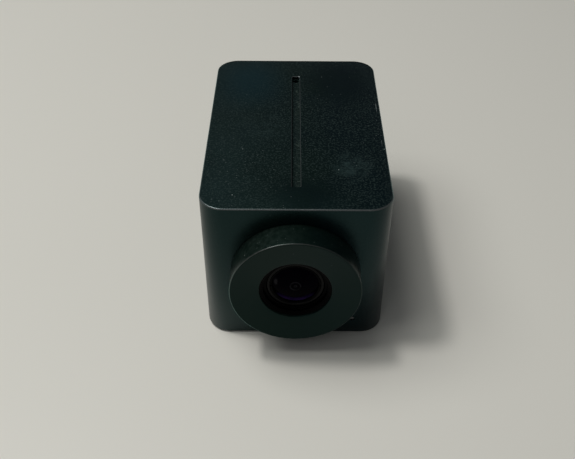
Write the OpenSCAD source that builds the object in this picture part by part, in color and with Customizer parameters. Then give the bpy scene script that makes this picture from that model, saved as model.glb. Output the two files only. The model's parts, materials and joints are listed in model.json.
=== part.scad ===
// Box-shaped dash camera: a deep tub housing closed from below by a base plate,
// a round lens barrel clamped through its front wall, and the boards inside.
// Millimetres. +Z is up, the lens looks along -Y, and X = 0 is the mid-plane.
// The origin is under the middle of the overall box, on the surface it stands on.

/* [Body] */
// Width of the housing across X
body_w = 46; // [46:1:60]
// Depth of the housing along Y, without the lens barrel
body_d = 72; // [72:1:90]
// Height of the housing from its lower rim to its top face
body_h = 41; // [41:1:56]
// Radius of the four upright edges
corner_r = 6; // [4:0.5:9]
// Thickness of the upright walls
wall = 2; // [1.6:0.1:2.4]
// Thickness of the roof
roof = 2.2; // [2:0.1:3]
// Bevel round the top face
edge = 0.4; // [0.2:0.1:0.8]

/* [Top groove] */
// Width of the groove along the top
groove_w = 2.2; // [1.6:0.1:4]
// Length of the groove
groove_l = 53.5; // [46:0.5:56]
// Depth of the groove below the top face
groove_deep = 1; // [0.5:0.1:1.2]
// Distance from the front face to the groove's near end
groove_front = 8.7; // [6:0.1:9]
// Radius of the microphone hole at the groove's far end
mic_hole_r = 0.8; // [0.4:0.1:1]

/* [Lens barrel] */
// Radius of the round barrel on the front face
barrel_r = 16; // [16:0.5:19]
// How far the barrel stands out of the front face
barrel_out = 7.1; // [6:0.1:10]
// Bevel on the barrel's front edge
barrel_edge = 0.3; // [0.1:0.1:0.6]
// How much deeper the mouth's rim lies than the barrel's front edge
dish_deep = 1; // [0.4:0.1:1.4]
// Radius of the mouth in the barrel's front
mouth_r = 8.8; // [8.2:0.1:9.2]
// Height of the lens axis above the middle of the housing
lens_rise = 0.2; // [-0.5:0.1:2]
// Radius of the spigot that passes through the front wall
spigot_r = 13.8; // [13:0.1:14.5]
// Length of the spigot behind the front face
spigot_l = 13; // [12:0.5:16]
// Radius of the spigot's bore
spigot_bore = 10; // [9.9:0.1:10.4]
// Radius of the ring nut that clamps the barrel from inside
nut_r = 15.6; // [15:0.1:16]
// Thickness of the ring nut
nut_t = 2.5; // [2:0.1:3]

/* [Lens] */
// How far the lens's front rim lies behind the barrel's front edge
lens_set = 3.1; // [2.5:0.1:3.6]
// Radius of the lens head
head_r = 7; // [6.8:0.1:7.3]
// Length of the lens head
head_l = 6; // [5:0.1:7]
// Radius of the lens's threaded stem
stem_r = 6; // [5.6:0.1:6.4]
// Length of the lens's threaded stem
stem_l = 8.5; // [8:0.1:8.8]
// Radius of the front lens element
front_glass_r = 6.2; // [5.8:0.1:6.3]
// Radius of the front element's outer surface
front_curve_r = 20; // [14:1:40]
// Side of the square image sensor
sensor_side = 8; // [6:0.5:8.2]

/* [Base] */
// Thickness of the base plate
base_t = 3; // [2.8:0.1:3.6]
// Thickness of the rubber pad
foot_t = 1; // [0.8:0.1:1.3]
// How far the rubber pad stands out below the housing
foot_proud = 0.5; // [0.3:0.1:0.7]
// Radius of the hole in the rubber pad round the tripod thread
foot_hole_r = 7; // [6.8:0.1:8]
// Wall radius of the quarter-inch tripod thread
tripod_r = 2.6; // [2.5:0.05:2.7]
// Outer radius of the tripod insert
insert_r = 4.5; // [4:0.1:5]
// Length of the tripod insert below its flange
insert_l = 5.5; // [5:0.1:5.8]

/* [Boards] */
// Thickness of the main board
board_t = 1.6; // [1:0.1:1.6]
// Width of the main board
board_w = 31.2; // [31:0.2:32]
// Gap below the main board
board_gap = 4.2; // [4:0.1:4.6]
// Side of the square sensor board
sensor_board_w = 23; // [22:0.5:23]
// Thickness of the sensor board
sensor_board_t = 1.2; // [0.8:0.1:1.6]
// Height of the heatsink with its fins
heatsink_h = 14; // [8:0.5:20]
// Length of the microphone board across X
mic_board_w = 20; // [19:0.5:24]
// Radius of a buffer capacitor
capacitor_r = 2.5; // [2:0.1:2.6]

/* [Rear ports] */
// Width of the power inlet's shell
usb_w = 9; // [8.9:0.1:9.2]
// Height of the power inlet's shell
usb_h = 3.2; // [3:0.1:3.3]
// Width of the memory card
card_w = 11; // [10:0.5:11.5]
// Length of the memory card
card_l = 15; // [13:0.5:16]
// Thickness of the memory card
card_t = 1; // [0.7:0.1:1]
// Radius of the push button
button_r = 1.8; // [1.5:0.1:1.9]
// Travel of the push button
button_travel = 0.4; // [0.2:0.1:0.5]

/* [Hidden] */
$fn = 96;

// Clearances
fit = 0.15;             // between parts that drop into each other
slip = 0.05;            // between parts that slide or screw into each other
lift = 0.1;             // under parts that are soldered or glued down
over = 1;               // how far a cut runs past the face it opens
root = 0.5;             // how far a boss runs into the wall it grows from

// Levels and faces
rim_z = foot_proud;
floor_z = rim_z + base_t;
top_z = rim_z + body_h;
ceiling_z = top_z - roof;
front_y = barrel_out - (barrel_out + body_d) / 2;
rear_y = front_y + body_d;
nose_y = front_y - barrel_out;
middle_y = (front_y + rear_y) / 2;
lens_z = rim_z + body_h / 2 + lens_rise;
inner_x = body_w / 2 - wall;
inner_front_y = front_y + wall;
inner_rear_y = rear_y - wall;
inner_r = max(corner_r - wall, 0.5);

// Corner bosses and base screws
boss_r = 2.3;
boss_inset = 3.4;
boss_x = inner_x - boss_inset;
boss_front_y = inner_front_y + boss_inset;
boss_rear_y = inner_rear_y - boss_inset;
rib_t = 1.6;
groove_end_r = groove_w / 5;
base_screw_r = 0.95;
base_head_r = 1.9;
base_head_h = 1.2;
base_head_room = 1.3;
base_screw_l = 8;
pilot_gap = 0.05;

// Rubber pad
pad_margin = 0.8;
pad_deep = foot_t - foot_proud;
pad_x = inner_x - fit - pad_margin;
pad_front_y = inner_front_y + fit + pad_margin;
pad_rear_y = inner_rear_y - fit - pad_margin;
pad_r = max(inner_r - pad_margin, 0.5);

// Tripod insert
insert_flange_r = insert_r + 1.3;
insert_flange_t = 0.9;
insert_boss_r = insert_r + 2;
insert_cap_t = 0.8;
thread_l = insert_l + insert_flange_t - insert_cap_t;

// Sensor board
sensor_board_y = front_y + spigot_l;
sensor_board_back = sensor_board_y + sensor_board_t;
sensor_hole_r = (spigot_r + spigot_bore) / 2;
sensor_hole = sensor_hole_r * cos(45);
sensor_screw_r = 0.6;
sensor_screw_l = 5;
small_head_r = 1.4;
small_head_h = 1;

// Lens
lens_y = nose_y + lens_set;
stem_y = lens_y + head_l;
lens_end_y = stem_y + stem_l;
lip_t = 0.6;
front_seat = 3;
front_bore_r = front_glass_r + slip;
front_edge = 0.65;
inner_glass_r = 4.4;
inner_bore_r = inner_glass_r + slip;
rear_seat = head_l + stem_l - 3.5;
exit_r = 3.4;
front_spacer_t = 1.4;
middle_t = 2;
stop_t = 0.3;
rear_t = 2.4;
stop_hole_r = 1.2;

// Lens holder and what it covers
holder_r = 7.6;
holder_gap = 0.4;
holder_side = 13.6;
holder_flange_t = 2.9;
pocket_side = sensor_side + 1.4;
pocket_deep = 1.5;
passage_r = 4.2;
filter_side = sensor_side + 0.6;
filter_t = 0.3;
sensor_t = 1;

// Front baffle behind the barrel's lip
baffle_front_y = nose_y + dish_deep + lip_t;
baffle_end_y = stem_y - 2.6;
baffle_r = spigot_bore - 0.1;
baffle_mouth_r = mouth_r - 0.3;
baffle_throat_r = head_r + 0.9;
baffle_cone = 0.6;
baffle_step_y = lens_y - 0.2;

// Status light on the front face
led_x = 14.8;
led_z = rim_z + 4.95;
pipe_r = 0.6;
pipe_collar_r = 1;
pipe_collar_l = 1.3;
led_gap = 0.8;
led_w = 2;
led_l = 1.2;
led_h = 1.8;

// Main board
board_z = floor_z + board_gap;
board_top = board_z + board_t;
board_front_y = sensor_board_back + 9.3;
board_rear_y = inner_rear_y - 1.4;
arm_w = 4.5;
arm_outer_x = led_x + pipe_collar_r - led_gap;
arm_inner_x = arm_outer_x - arm_w;
arm_front_y = inner_front_y + 1.5;
post_r = 2.2;
post_x = board_w / 2 - 2.6;
post_front_y = board_front_y + 3.5;
post_rear_y = board_rear_y - 18.6;
board_hole_r = 1.05;
board_screw_r = 0.75;
board_screw_l = 3.4;
board_head_r = 1.6;

// Parts on the main board
heatsink_x = 12;
heatsink_front_y = board_front_y + 1.5;
heatsink_l = 24;
heatsink_y = heatsink_front_y + heatsink_l / 2;
heatsink_base_t = 2;
fin_t = 1.2;
fin_count = 7;
fin_pitch = (2 * heatsink_x - fin_t) / (fin_count - 1);
processor_w = 14;
processor_t = 1.4;
pad_gap_t = 0.5;
heatsink_z = board_top + processor_t + pad_gap_t;
pin_x = 9.6;
pin_y = heatsink_l / 2 - 3;
pin_r = 0.95;
pin_head_r = 1.9;
pin_head_h = 1;
pin_barb_r = 1.3;
pin_barb_h = 0.6;
chip_w = 4;
chip_l = 8;
chip_t = 1;
chip_x = heatsink_x - chip_w / 2 - 0.2;
motion_w = 2.5;
connector_w = 12;
connector_l = 3;
connector_h = 1.2;
flex_w = 10;
flex_t = 0.2;
flex_bend_r = 1.4;
inductor_w = 5;
inductor_h = 3;
capacitor_l = 10;
capacitor_y = heatsink_front_y + heatsink_l + capacitor_r + 0.6;

// Rear ports, in one row above the main board
usb_x = -(board_w / 2) + usb_w / 2 + 0.6;
usb_l = 7.4;
usb_z = board_top + usb_h / 2;
usb_wall = 0.3;
port_gap = 0.2;
card_x = board_w / 2 - 0.4 - (card_w + 3) / 2;
socket_w = card_w + 3;
socket_l = card_l - 0.4;
socket_h = card_t + 0.9;
socket_wall = 0.4;
card_z = board_top + socket_h / 2;
card_room = 0.08;
scoop_r = 2.75;
scoop_deep = 1;
button_x = (usb_x + usb_w / 2 + card_x - socket_w / 2) / 2;
button_z = board_top + 1.6;
button_flange_r = button_r + 0.6;
button_flange_t = 0.8;
plunger_r = 0.8;
plunger_l = 1;
plunger_deep = 0.8;
switch_w = 4.6;
switch_h = 3.1;
switch_l = 3.4;
switch_front_y = inner_rear_y - button_flange_t - plunger_l;

// Microphone under the groove's far end
mic_y = front_y + groove_front + groove_l - groove_w / 2;
mic_post_x = mic_board_w / 2 - 2;
mic_post_r = 2;
mic_post_h = 2;
mic_board_l = 8;
mic_board_t = 1;
mic_board_z = ceiling_z - mic_post_h - mic_board_t;
mic_w = 3.4;
mic_h = 1;
mic_gasket_r = 2.2;
mic_plug_x = -4.1;
mic_plug_w = 4;
mic_plug_l = 2.6;
mic_plug_h = 1.6;
mic_flex_w = 3;
mic_screw_l = 2;

// A cylinder that points towards the rear, with its near end at y.
module rearward(x, y, z, r, l) {
    translate([x, y, z])
        rotate([-90, 0, 0])
            cylinder(r = r, h = l);
}

// A body turned about the lens axis from [radius, y] points.
module turned(points) {
    translate([0, 0, lens_z])
        rotate([-90, 0, 0])
            rotate_extrude()
                polygon(points);
}

// A block given by its centre in X, its near face in Y and its underside.
module block(x, y, z, w, l, h) {
    translate([x - w / 2, y, z])
        cube([w, l, h]);
}

// A rectangle with true arcs at its corners, between two Y positions.
module rounded_outline(half_w, y0, y1, r) {
    translate([-half_w + r, y0])
        square([2 * (half_w - r), y1 - y0]);
    translate([-half_w, y0 + r])
        square([2 * half_w, y1 - y0 - 2 * r]);
    for (x = [-half_w + r, half_w - r])
        for (y = [y0 + r, y1 - r])
            translate([x, y])
                circle(r = r);
}

// An upright plate or column with rounded corners.
module rounded_plate(half_w, y0, y1, r, z, h) {
    translate([0, 0, z])
        linear_extrude(height = h)
            rounded_outline(half_w, y0, y1, r);
}

// Places children at the four corner bosses.
module at_bosses() {
    for (x = [-boss_x, boss_x])
        for (y = [boss_front_y, boss_rear_y])
            translate([x, y, 0])
                children();
}

// Places children at the four posts under the main board.
module at_posts() {
    for (x = [-post_x, post_x])
        for (y = [post_front_y, post_rear_y])
            translate([x, y, 0])
                children();
}

// Places children at the two pins of the heatsink, on opposite corners.
module at_pins() {
    for (side = [-1, 1])
        translate([side * pin_x, heatsink_y + side * pin_y, 0])
            children();
}

// A section in Y and Z with bevelled upper corners, drawn across the given half width.
module bevelled_along_x(half_w, y0, y1) {
    rotate([90, 0, 90])
        translate([0, 0, -half_w])
            linear_extrude(height = 2 * half_w)
                polygon([[y0, rim_z], [y1, rim_z], [y1, top_z - edge], [y1 - edge, top_z],
                         [y0 + edge, top_z], [y0, top_z - edge]]);
}

// A section in X and Z with bevelled upper corners, drawn between two Y positions.
module bevelled_along_y(half_w, y0, y1) {
    translate([0, y1, 0])
        rotate([90, 0, 0])
            linear_extrude(height = y1 - y0)
                polygon([[-half_w, rim_z], [half_w, rim_z], [half_w, top_z - edge],
                         [half_w - edge, top_z], [-half_w + edge, top_z], [-half_w, top_z - edge]]);
}

// The housing's outer form: upright rounded edges and a bevel round the top.
module housing_form() {
    union() {
        bevelled_along_x(body_w / 2 - corner_r, front_y, rear_y);
        bevelled_along_y(body_w / 2, front_y + corner_r, rear_y - corner_r);
        for (x = [-1, 1] * (body_w / 2 - corner_r))
            for (y = [front_y + corner_r, rear_y - corner_r])
                translate([x, y, rim_z]) {
                    cylinder(r = corner_r, h = body_h - edge);
                    translate([0, 0, body_h - edge])
                        cylinder(r1 = corner_r, r2 = corner_r - edge, h = edge);
                }
    }
}

// One boss for a base screw, tied to the two walls beside it.
module corner_boss(x, y, x_side, y_side) {
    boss_h = ceiling_z + root - floor_z;
    rib_l = boss_inset + root;
    translate([x, y, floor_z])
        cylinder(r = boss_r, h = boss_h);
    translate([x_side > 0 ? x : x - rib_l, y - rib_t / 2, floor_z])
        cube([rib_l, rib_t, boss_h]);
    translate([x - rib_t / 2, y_side > 0 ? y : y - rib_l, floor_z])
        cube([rib_t, rib_l, boss_h]);
}

module housing_bosses() {
    for (x_side = [-1, 1])
        for (y_side = [-1, 1])
            corner_boss(x_side * boss_x, y_side > 0 ? boss_rear_y : boss_front_y, x_side, y_side);
    for (side = [-1, 1])
        translate([side * mic_post_x, mic_y, ceiling_z - mic_post_h])
            cylinder(r = mic_post_r, h = mic_post_h + root);
}

// The groove in the roof, and the microphone's hole at its far end.
module roof_groove() {
    rounded_plate(groove_w / 2, front_y + groove_front, front_y + groove_front + groove_l,
                  groove_end_r, top_z - groove_deep, groove_deep + over);
    translate([0, mic_y, ceiling_z - over])
        cylinder(r = mic_hole_r, h = roof + 2 * over);
}

// The holes through the rear wall for the inlet, the button and the card.
module rear_ports() {
    cut_y = inner_rear_y - over;
    cut_l = wall + 2 * over;
    block(usb_x, cut_y, usb_z - usb_h / 2 - port_gap, usb_w + 2 * port_gap, cut_l, usb_h + 2 * port_gap);
    rearward(button_x, cut_y, button_z, button_r + fit, cut_l);
    block(card_x, cut_y, card_z - card_t / 2 - port_gap, card_w + 2 * port_gap, cut_l, card_t + 2 * port_gap);
    rearward(card_x, rear_y - scoop_deep, card_z, scoop_r, wall);
}

module main_housing() {
    color([0.09, 0.10, 0.105])
        difference() {
            union() {
                difference() {
                    housing_form();
                    rounded_plate(inner_x, inner_front_y, inner_rear_y, inner_r,
                                  rim_z - 1, ceiling_z - rim_z + 1);
                }
                housing_bosses();
            }
            roof_groove();
            rearward(0, front_y - 1, lens_z, spigot_r + fit, wall + 2);
            rearward(led_x, front_y - 1, led_z, pipe_r + slip, wall + 2);
            rear_ports();
            at_bosses()
                translate([0, 0, floor_z - 1])
                    cylinder(r = base_screw_r + pilot_gap, h = base_screw_l + 1);
            for (side = [-1, 1])
                translate([side * mic_post_x, mic_y, ceiling_z - mic_post_h - 1])
                    cylinder(r = sensor_screw_r + pilot_gap, h = 1 + mic_screw_l + 0.5);
        }
}

module base_plate() {
    head_z = rim_z + pad_deep + base_head_room;
    color([0.06, 0.065, 0.07])
        difference() {
            union() {
                rounded_plate(inner_x - fit, inner_front_y + fit, inner_rear_y - fit,
                              inner_r, rim_z, base_t);
                translate([0, middle_y, rim_z])
                    cylinder(r = insert_boss_r, h = insert_l);
                at_posts()
                    translate([0, 0, rim_z + 1])
                        cylinder(r = post_r, h = board_z - rim_z - 1);
            }
            difference() {
                rounded_plate(pad_x + fit, pad_front_y - fit, pad_rear_y + fit, pad_r + fit,
                              rim_z - 1, 1 + pad_deep);
                translate([0, middle_y, rim_z - 1])
                    cylinder(r = foot_hole_r - fit, h = 2 + pad_deep);
            }
            translate([0, middle_y, rim_z - 1])
                cylinder(r = insert_r + slip, h = insert_l + 2);
            at_bosses() {
                cylinder(r = base_screw_r + fit, h = floor_z + 1);
                cylinder(r = base_head_r + fit, h = head_z);
            }
            at_posts()
                translate([0, 0, board_z - board_screw_l + board_t - 0.4])
                    cylinder(r = board_screw_r + pilot_gap, h = board_screw_l);
        }
}

module rubber_foot() {
    color([0.03, 0.03, 0.03])
        difference() {
            rounded_plate(pad_x, pad_front_y, pad_rear_y, pad_r, 0, foot_t);
            translate([0, middle_y, -1])
                cylinder(r = foot_hole_r, h = foot_t + 2);
        }
}

module tripod_insert() {
    color([0.78, 0.64, 0.34])
        translate([0, middle_y, rim_z])
            difference() {
                union() {
                    cylinder(r = insert_r, h = insert_l);
                    translate([0, 0, insert_l])
                        cylinder(r = insert_flange_r, h = insert_flange_t);
                }
                translate([0, 0, -1])
                    cylinder(r = tripod_r, h = thread_l + 1);
            }
}

// A pan-head screw that stands upright, with its head's underside at z = 0.
module upright_screw(r, l, head_r, head_h) {
    translate([0, 0, -l])
        cylinder(r = r, h = l + head_h / 2);
    difference() {
        cylinder(r = head_r, h = head_h);
        for (turn = [0, 90])
            rotate([0, 0, turn])
                translate([-head_r * 0.55, -head_r * 0.13, head_h * 0.5])
                    cube([head_r * 1.1, head_r * 0.26, head_h]);
    }
}

module base_screws() {
    color([0.55, 0.56, 0.58])
        at_bosses()
            translate([0, 0, rim_z + pad_deep + base_head_room])
                rotate([180, 0, 0])
                    upright_screw(base_screw_r, base_screw_l, base_head_r, base_head_h);
}

module lens_barrel() {
    spigot_end = front_y + spigot_l;
    lip_back = nose_y + dish_deep + lip_t;
    color([0.085, 0.10, 0.10])
        difference() {
            turned([[mouth_r, nose_y + dish_deep], [barrel_r - barrel_edge, nose_y],
                    [barrel_r, nose_y + barrel_edge], [barrel_r, front_y], [spigot_r, front_y],
                    [spigot_r, spigot_end], [spigot_bore, spigot_end], [spigot_bore, lip_back],
                    [mouth_r, lip_back]]);
            for (x = [-sensor_hole, sensor_hole])
                for (z = [-sensor_hole, sensor_hole])
                    rearward(x, spigot_end - sensor_screw_l, lens_z + z,
                             sensor_screw_r + pilot_gap, sensor_screw_l + 1);
        }
}

module barrel_nut() {
    notch = 2.4;
    color([0.50, 0.51, 0.53])
        difference() {
            turned([[spigot_r + slip, inner_front_y], [nut_r, inner_front_y],
                    [nut_r, inner_front_y + nut_t], [spigot_r + slip, inner_front_y + nut_t]]);
            for (turn = [0:60:359])
                translate([0, inner_front_y + nut_t - 0.8, lens_z])
                    rotate([0, turn, 0])
                        translate([nut_r - 0.7, 0, -notch / 2])
                            cube([2, 2, notch]);
        }
}

module front_baffle() {
    color([0.012, 0.012, 0.014])
        turned([[baffle_mouth_r, baffle_front_y], [baffle_r, baffle_front_y],
                [baffle_r, baffle_end_y], [head_r + fit, baffle_end_y],
                [head_r + fit, baffle_step_y], [baffle_throat_r, baffle_step_y],
                [baffle_throat_r, baffle_front_y + baffle_cone]]);
}

// The lens stem has shallow turned rings in place of a helical thread.
module lens_tube() {
    color([0.02, 0.02, 0.022])
        turned(concat(
            [[front_bore_r, lens_y], [head_r, lens_y], [head_r, stem_y], [stem_r, stem_y]],
            [for (y = [stem_y + 1:1:lens_end_y - 1.2])
                for (p = [[stem_r, y], [stem_r - 0.25, y + 0.25], [stem_r, y + 0.5]]) p],
            [[stem_r, lens_end_y], [exit_r, lens_end_y], [exit_r, lens_y + rear_seat],
             [inner_bore_r, lens_y + rear_seat], [inner_bore_r, lens_y + front_seat],
             [front_bore_r, lens_y + front_seat]]));
}

module front_retainer() {
    color([0.03, 0.03, 0.035])
        turned([[front_bore_r - slip, lens_y], [front_bore_r - slip, lens_y + front_edge - 0.1],
                [front_bore_r - 0.55, lens_y + front_edge - 0.25], [front_bore_r - 0.3, lens_y]]);
}

// A disc of glass about the lens axis, with a domed front and, if wanted, a domed or hollow back.
module glass_disc(r, y0, y1, front_curve, back_curve) {
    front_sag = front_curve - sqrt(pow(front_curve, 2) - pow(r, 2));
    back_sag = abs(back_curve) - sqrt(pow(back_curve, 2) - pow(r, 2));
    difference() {
        intersection() {
            rearward(0, y0 - front_sag - 1, lens_z, r, y1 - y0 + front_sag + back_sag + 2);
            translate([0, y0 - front_sag + front_curve, lens_z])
                sphere(r = front_curve);
            if (back_curve > 0)
                translate([0, y1 + back_sag - back_curve, lens_z])
                    sphere(r = back_curve);
            else
                rearward(0, y0 - front_sag - 2, lens_z, r + 1, y1 - y0 + front_sag + 2);
        }
        if (back_curve < 0)
            translate([0, y1 + sqrt(pow(back_curve, 2) - pow(r * 0.8, 2)), lens_z])
                sphere(r = -back_curve);
    }
}

module front_element() {
    color([0.25, 0.2, 0.45, 0.6])
        glass_disc(front_glass_r, lens_y + front_edge, lens_y + front_seat,
                   front_curve_r, -(front_glass_r + 6));
}

front_spacer_y = lens_y + front_seat;
middle_y0 = front_spacer_y + front_spacer_t;
stop_y = middle_y0 + middle_t;
rear_y0 = lens_y + rear_seat - rear_t;

module front_spacer() {
    color([0.02, 0.02, 0.022])
        turned([[inner_glass_r - 0.9, front_spacer_y + 0.1], [inner_glass_r, front_spacer_y + 0.1],
                [inner_glass_r, middle_y0], [inner_glass_r - 0.9, middle_y0]]);
}

module middle_element() {
    color([0.25, 0.35, 0.45, 0.6])
        glass_disc(inner_glass_r, middle_y0 + 0.5, stop_y, 16, -40);
}

module aperture_stop() {
    color([0.02, 0.02, 0.022])
        turned([[stop_hole_r, stop_y], [inner_glass_r, stop_y],
                [inner_glass_r, stop_y + stop_t], [stop_hole_r, stop_y + stop_t]]);
}

module rear_spacer() {
    color([0.02, 0.02, 0.022])
        turned([[inner_glass_r - 0.9, stop_y + stop_t], [inner_glass_r, stop_y + stop_t],
                [inner_glass_r, rear_y0], [inner_glass_r - 0.9, rear_y0]]);
}

module rear_element() {
    color([0.25, 0.4, 0.4, 0.6])
        glass_disc(inner_glass_r, rear_y0 + 0.6, lens_y + rear_seat, 16, -30);
}

module lens_holder() {
    tube_y = stem_y + holder_gap;
    color([0.025, 0.025, 0.028])
        difference() {
            union() {
                rearward(0, tube_y, lens_z, holder_r, sensor_board_y - tube_y);
                block(0, sensor_board_y - holder_flange_t, lens_z - holder_side / 2,
                      holder_side, holder_flange_t, holder_side);
            }
            rearward(0, tube_y - 1, lens_z, stem_r + slip, lens_end_y + 0.2 - tube_y + 1);
            rearward(0, tube_y, lens_z, passage_r, sensor_board_y - tube_y + 1);
            block(0, sensor_board_y - pocket_deep, lens_z - pocket_side / 2,
                  pocket_side, pocket_deep + 1, pocket_side);
        }
}

module infrared_filter() {
    color([0.55, 0.25, 0.35, 0.5])
        block(0, sensor_board_y - pocket_deep, lens_z - filter_side / 2,
              filter_side, filter_t, filter_side);
}

module image_sensor() {
    pixels = sensor_side - 1.6;
    color([0.20, 0.26, 0.30])
        difference() {
            block(0, sensor_board_y - sensor_t, lens_z - sensor_side / 2,
                  sensor_side, sensor_t, sensor_side);
            block(0, sensor_board_y - sensor_t - 1, lens_z - pixels / 2, pixels, 1.2, pixels);
        }
}

module sensor_board() {
    color([0.03, 0.22, 0.12])
        difference() {
            block(0, sensor_board_y, lens_z - sensor_board_w / 2,
                  sensor_board_w, sensor_board_t, sensor_board_w);
            for (x = [-sensor_hole, sensor_hole])
                for (z = [-sensor_hole, sensor_hole])
                    rearward(x, sensor_board_y - 1, lens_z + z, sensor_screw_r + fit, sensor_board_t + 2);
        }
}

module sensor_screws() {
    color([0.60, 0.61, 0.63])
        for (x = [-sensor_hole, sensor_hole])
            for (z = [-sensor_hole, sensor_hole])
                translate([x, sensor_board_back, lens_z + z])
                    rotate([-90, 0, 0])
                        upright_screw(sensor_screw_r, sensor_screw_l + sensor_board_t - 0.4,
                                      small_head_r, small_head_h);
}

sensor_plug_z = lens_z - sensor_board_w / 2 + 3.1;

module sensor_connector() {
    color([0.85, 0.82, 0.74])
        difference() {
            block(0, sensor_board_back, sensor_plug_z, connector_w, connector_h + 0.4, connector_l);
            block(0, sensor_board_back + 0.5, sensor_plug_z - 1, flex_w + 0.2, flex_t + 0.2, 2.6);
        }
}

flex_y = sensor_board_back + 0.6;
flex_z = board_top + 0.6;
board_plug_y = heatsink_front_y + 0.6;

// The flat cable runs down from the sensor board and bends back to the main board.
module sensor_flex() {
    color([0.62, 0.36, 0.10]) {
        bend_y = flex_y + flex_bend_r + flex_t / 2;
        bend_z = flex_z + flex_bend_r + flex_t / 2;
        translate([-flex_w / 2, 0, 0])
            rotate([90, 0, 90])
                linear_extrude(height = flex_w) {
                    translate([flex_y, bend_z - 0.01])
                        square([flex_t, sensor_plug_z + 1.4 - bend_z]);
                    translate([bend_y - 0.01, flex_z])
                        square([board_plug_y + 1.6 - bend_y, flex_t]);
                    intersection() {
                        difference() {
                            translate([bend_y + flex_t / 2 - 0.1, bend_z + flex_t / 2 - 0.1])
                                circle(r = flex_bend_r + flex_t / 2);
                            translate([bend_y + flex_t / 2 - 0.1, bend_z + flex_t / 2 - 0.1])
                                circle(r = flex_bend_r - flex_t / 2);
                        }
                        translate([flex_y - 1, flex_z - 1])
                            square([bend_y - flex_y + 1, bend_z - flex_z + 1]);
                    }
                }
    }
}

module board_connector() {
    color([0.85, 0.82, 0.74])
        difference() {
            block(0, board_plug_y, board_top, connector_w, connector_l, connector_h);
            block(0, board_plug_y - 1, flex_z - 0.1, flex_w + 0.2, 2.8, flex_t + 0.2);
        }
}

module main_board() {
    color([0.03, 0.20, 0.11])
        difference() {
            union() {
                block(0, board_front_y, board_z, board_w, board_rear_y - board_front_y, board_t);
                translate([arm_inner_x, arm_front_y, board_z])
                    cube([arm_outer_x - arm_inner_x, board_front_y - arm_front_y + 1, board_t]);
            }
            for (x = [-boss_x, boss_x])
                translate([x, boss_rear_y, board_z - 1])
                    cylinder(r = boss_r + 0.5, h = board_t + 2);
            at_posts()
                translate([0, 0, board_z - 1])
                    cylinder(r = board_hole_r, h = board_t + 2);
            at_pins()
                translate([0, 0, board_z - 1])
                    cylinder(r = pin_r + fit, h = board_t + 2);
        }
}

module board_screws() {
    color([0.60, 0.61, 0.63])
        at_posts()
            translate([0, 0, board_top])
                upright_screw(board_screw_r, board_screw_l - 0.2, board_head_r, small_head_h);
}

module processor() {
    color([0.05, 0.05, 0.055])
        block(0, heatsink_y - processor_w / 2, board_top, processor_w, processor_w, processor_t);
}

module thermal_pad() {
    pad_w = processor_w - 1;
    color([0.55, 0.62, 0.70])
        block(0, heatsink_y - pad_w / 2, board_top + processor_t, pad_w, pad_w, pad_gap_t);
}

module heatsink() {
    color([0.58, 0.59, 0.61])
        difference() {
            union() {
                block(0, heatsink_front_y, heatsink_z, 2 * heatsink_x, heatsink_l, heatsink_base_t);
                for (i = [0:fin_count - 1])
                    translate([-heatsink_x + i * fin_pitch, heatsink_front_y, heatsink_z])
                        cube([fin_t, heatsink_l, heatsink_h]);
            }
            at_pins() {
                translate([0, 0, heatsink_z - 1])
                    cylinder(r = pin_r + fit, h = heatsink_base_t + 2);
                translate([0, 0, heatsink_z + heatsink_base_t])
                    cylinder(r = pin_head_r + 0.5, h = heatsink_h);
            }
        }
}

module heatsink_pins() {
    color([0.75, 0.75, 0.70])
        at_pins() {
            translate([0, 0, heatsink_z + heatsink_base_t])
                cylinder(r = pin_head_r, h = pin_head_h);
            translate([0, 0, board_z - slip - pin_barb_h])
                cylinder(r = pin_r, h = heatsink_z + heatsink_base_t + 0.1 - board_z + slip + pin_barb_h);
            translate([0, 0, board_z - slip - pin_barb_h])
                cylinder(r1 = pin_r, r2 = pin_barb_r, h = pin_barb_h);
        }
}

module memory_chips() {
    color([0.06, 0.06, 0.065])
        for (side = [-1, 1])
            block(side * chip_x, heatsink_y - chip_l / 2, board_top, chip_w, chip_l, chip_t);
}

module motion_sensor() {
    color([0.07, 0.07, 0.075])
        block(-chip_x, heatsink_front_y + heatsink_l - 1 - motion_w, board_top, motion_w, motion_w, chip_t);
}

module power_inductors() {
    color([0.22, 0.22, 0.23])
        for (side = [-1, 1])
            block(side * 6, capacitor_y - inductor_w / 2, board_z - inductor_h,
                  inductor_w, inductor_w, inductor_h);
}

module buffer_capacitors() {
    gap = 1;
    color([0.10, 0.12, 0.22])
        for (side = [-1, 1])
            translate([side > 0 ? gap / 2 : -gap / 2 - capacitor_l, capacitor_y,
                       board_top + lift + capacitor_r])
                rotate([0, 90, 0])
                    cylinder(r = capacitor_r, h = capacitor_l);
}

// The power inlet: a flat shell with round ends, open at the rear.
module inlet_outline(w, h) {
    for (side = [-1, 1])
        translate([side * (w - h) / 2, 0])
            circle(r = h / 2);
    square([w - h, h], center = true);
}

module usb_shell() {
    color([0.62, 0.63, 0.65])
        difference() {
            translate([usb_x, rear_y - port_gap, usb_z])
                rotate([90, 0, 0])
                    linear_extrude(height = usb_l)
                        inlet_outline(usb_w, usb_h);
            translate([usb_x, rear_y, usb_z])
                rotate([90, 0, 0])
                    linear_extrude(height = usb_l - 0.4)
                        inlet_outline(usb_w - 2 * usb_wall, usb_h - 2 * usb_wall);
        }
}

module usb_tongue() {
    tongue_w = usb_w - 2.3;
    tongue_h = 0.7;
    color([0.04, 0.04, 0.045])
        block(usb_x, rear_y - port_gap + 0.2 - usb_l + 0.4, usb_z - tongue_h / 2,
              tongue_w, usb_l - 1.4, tongue_h);
}

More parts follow.
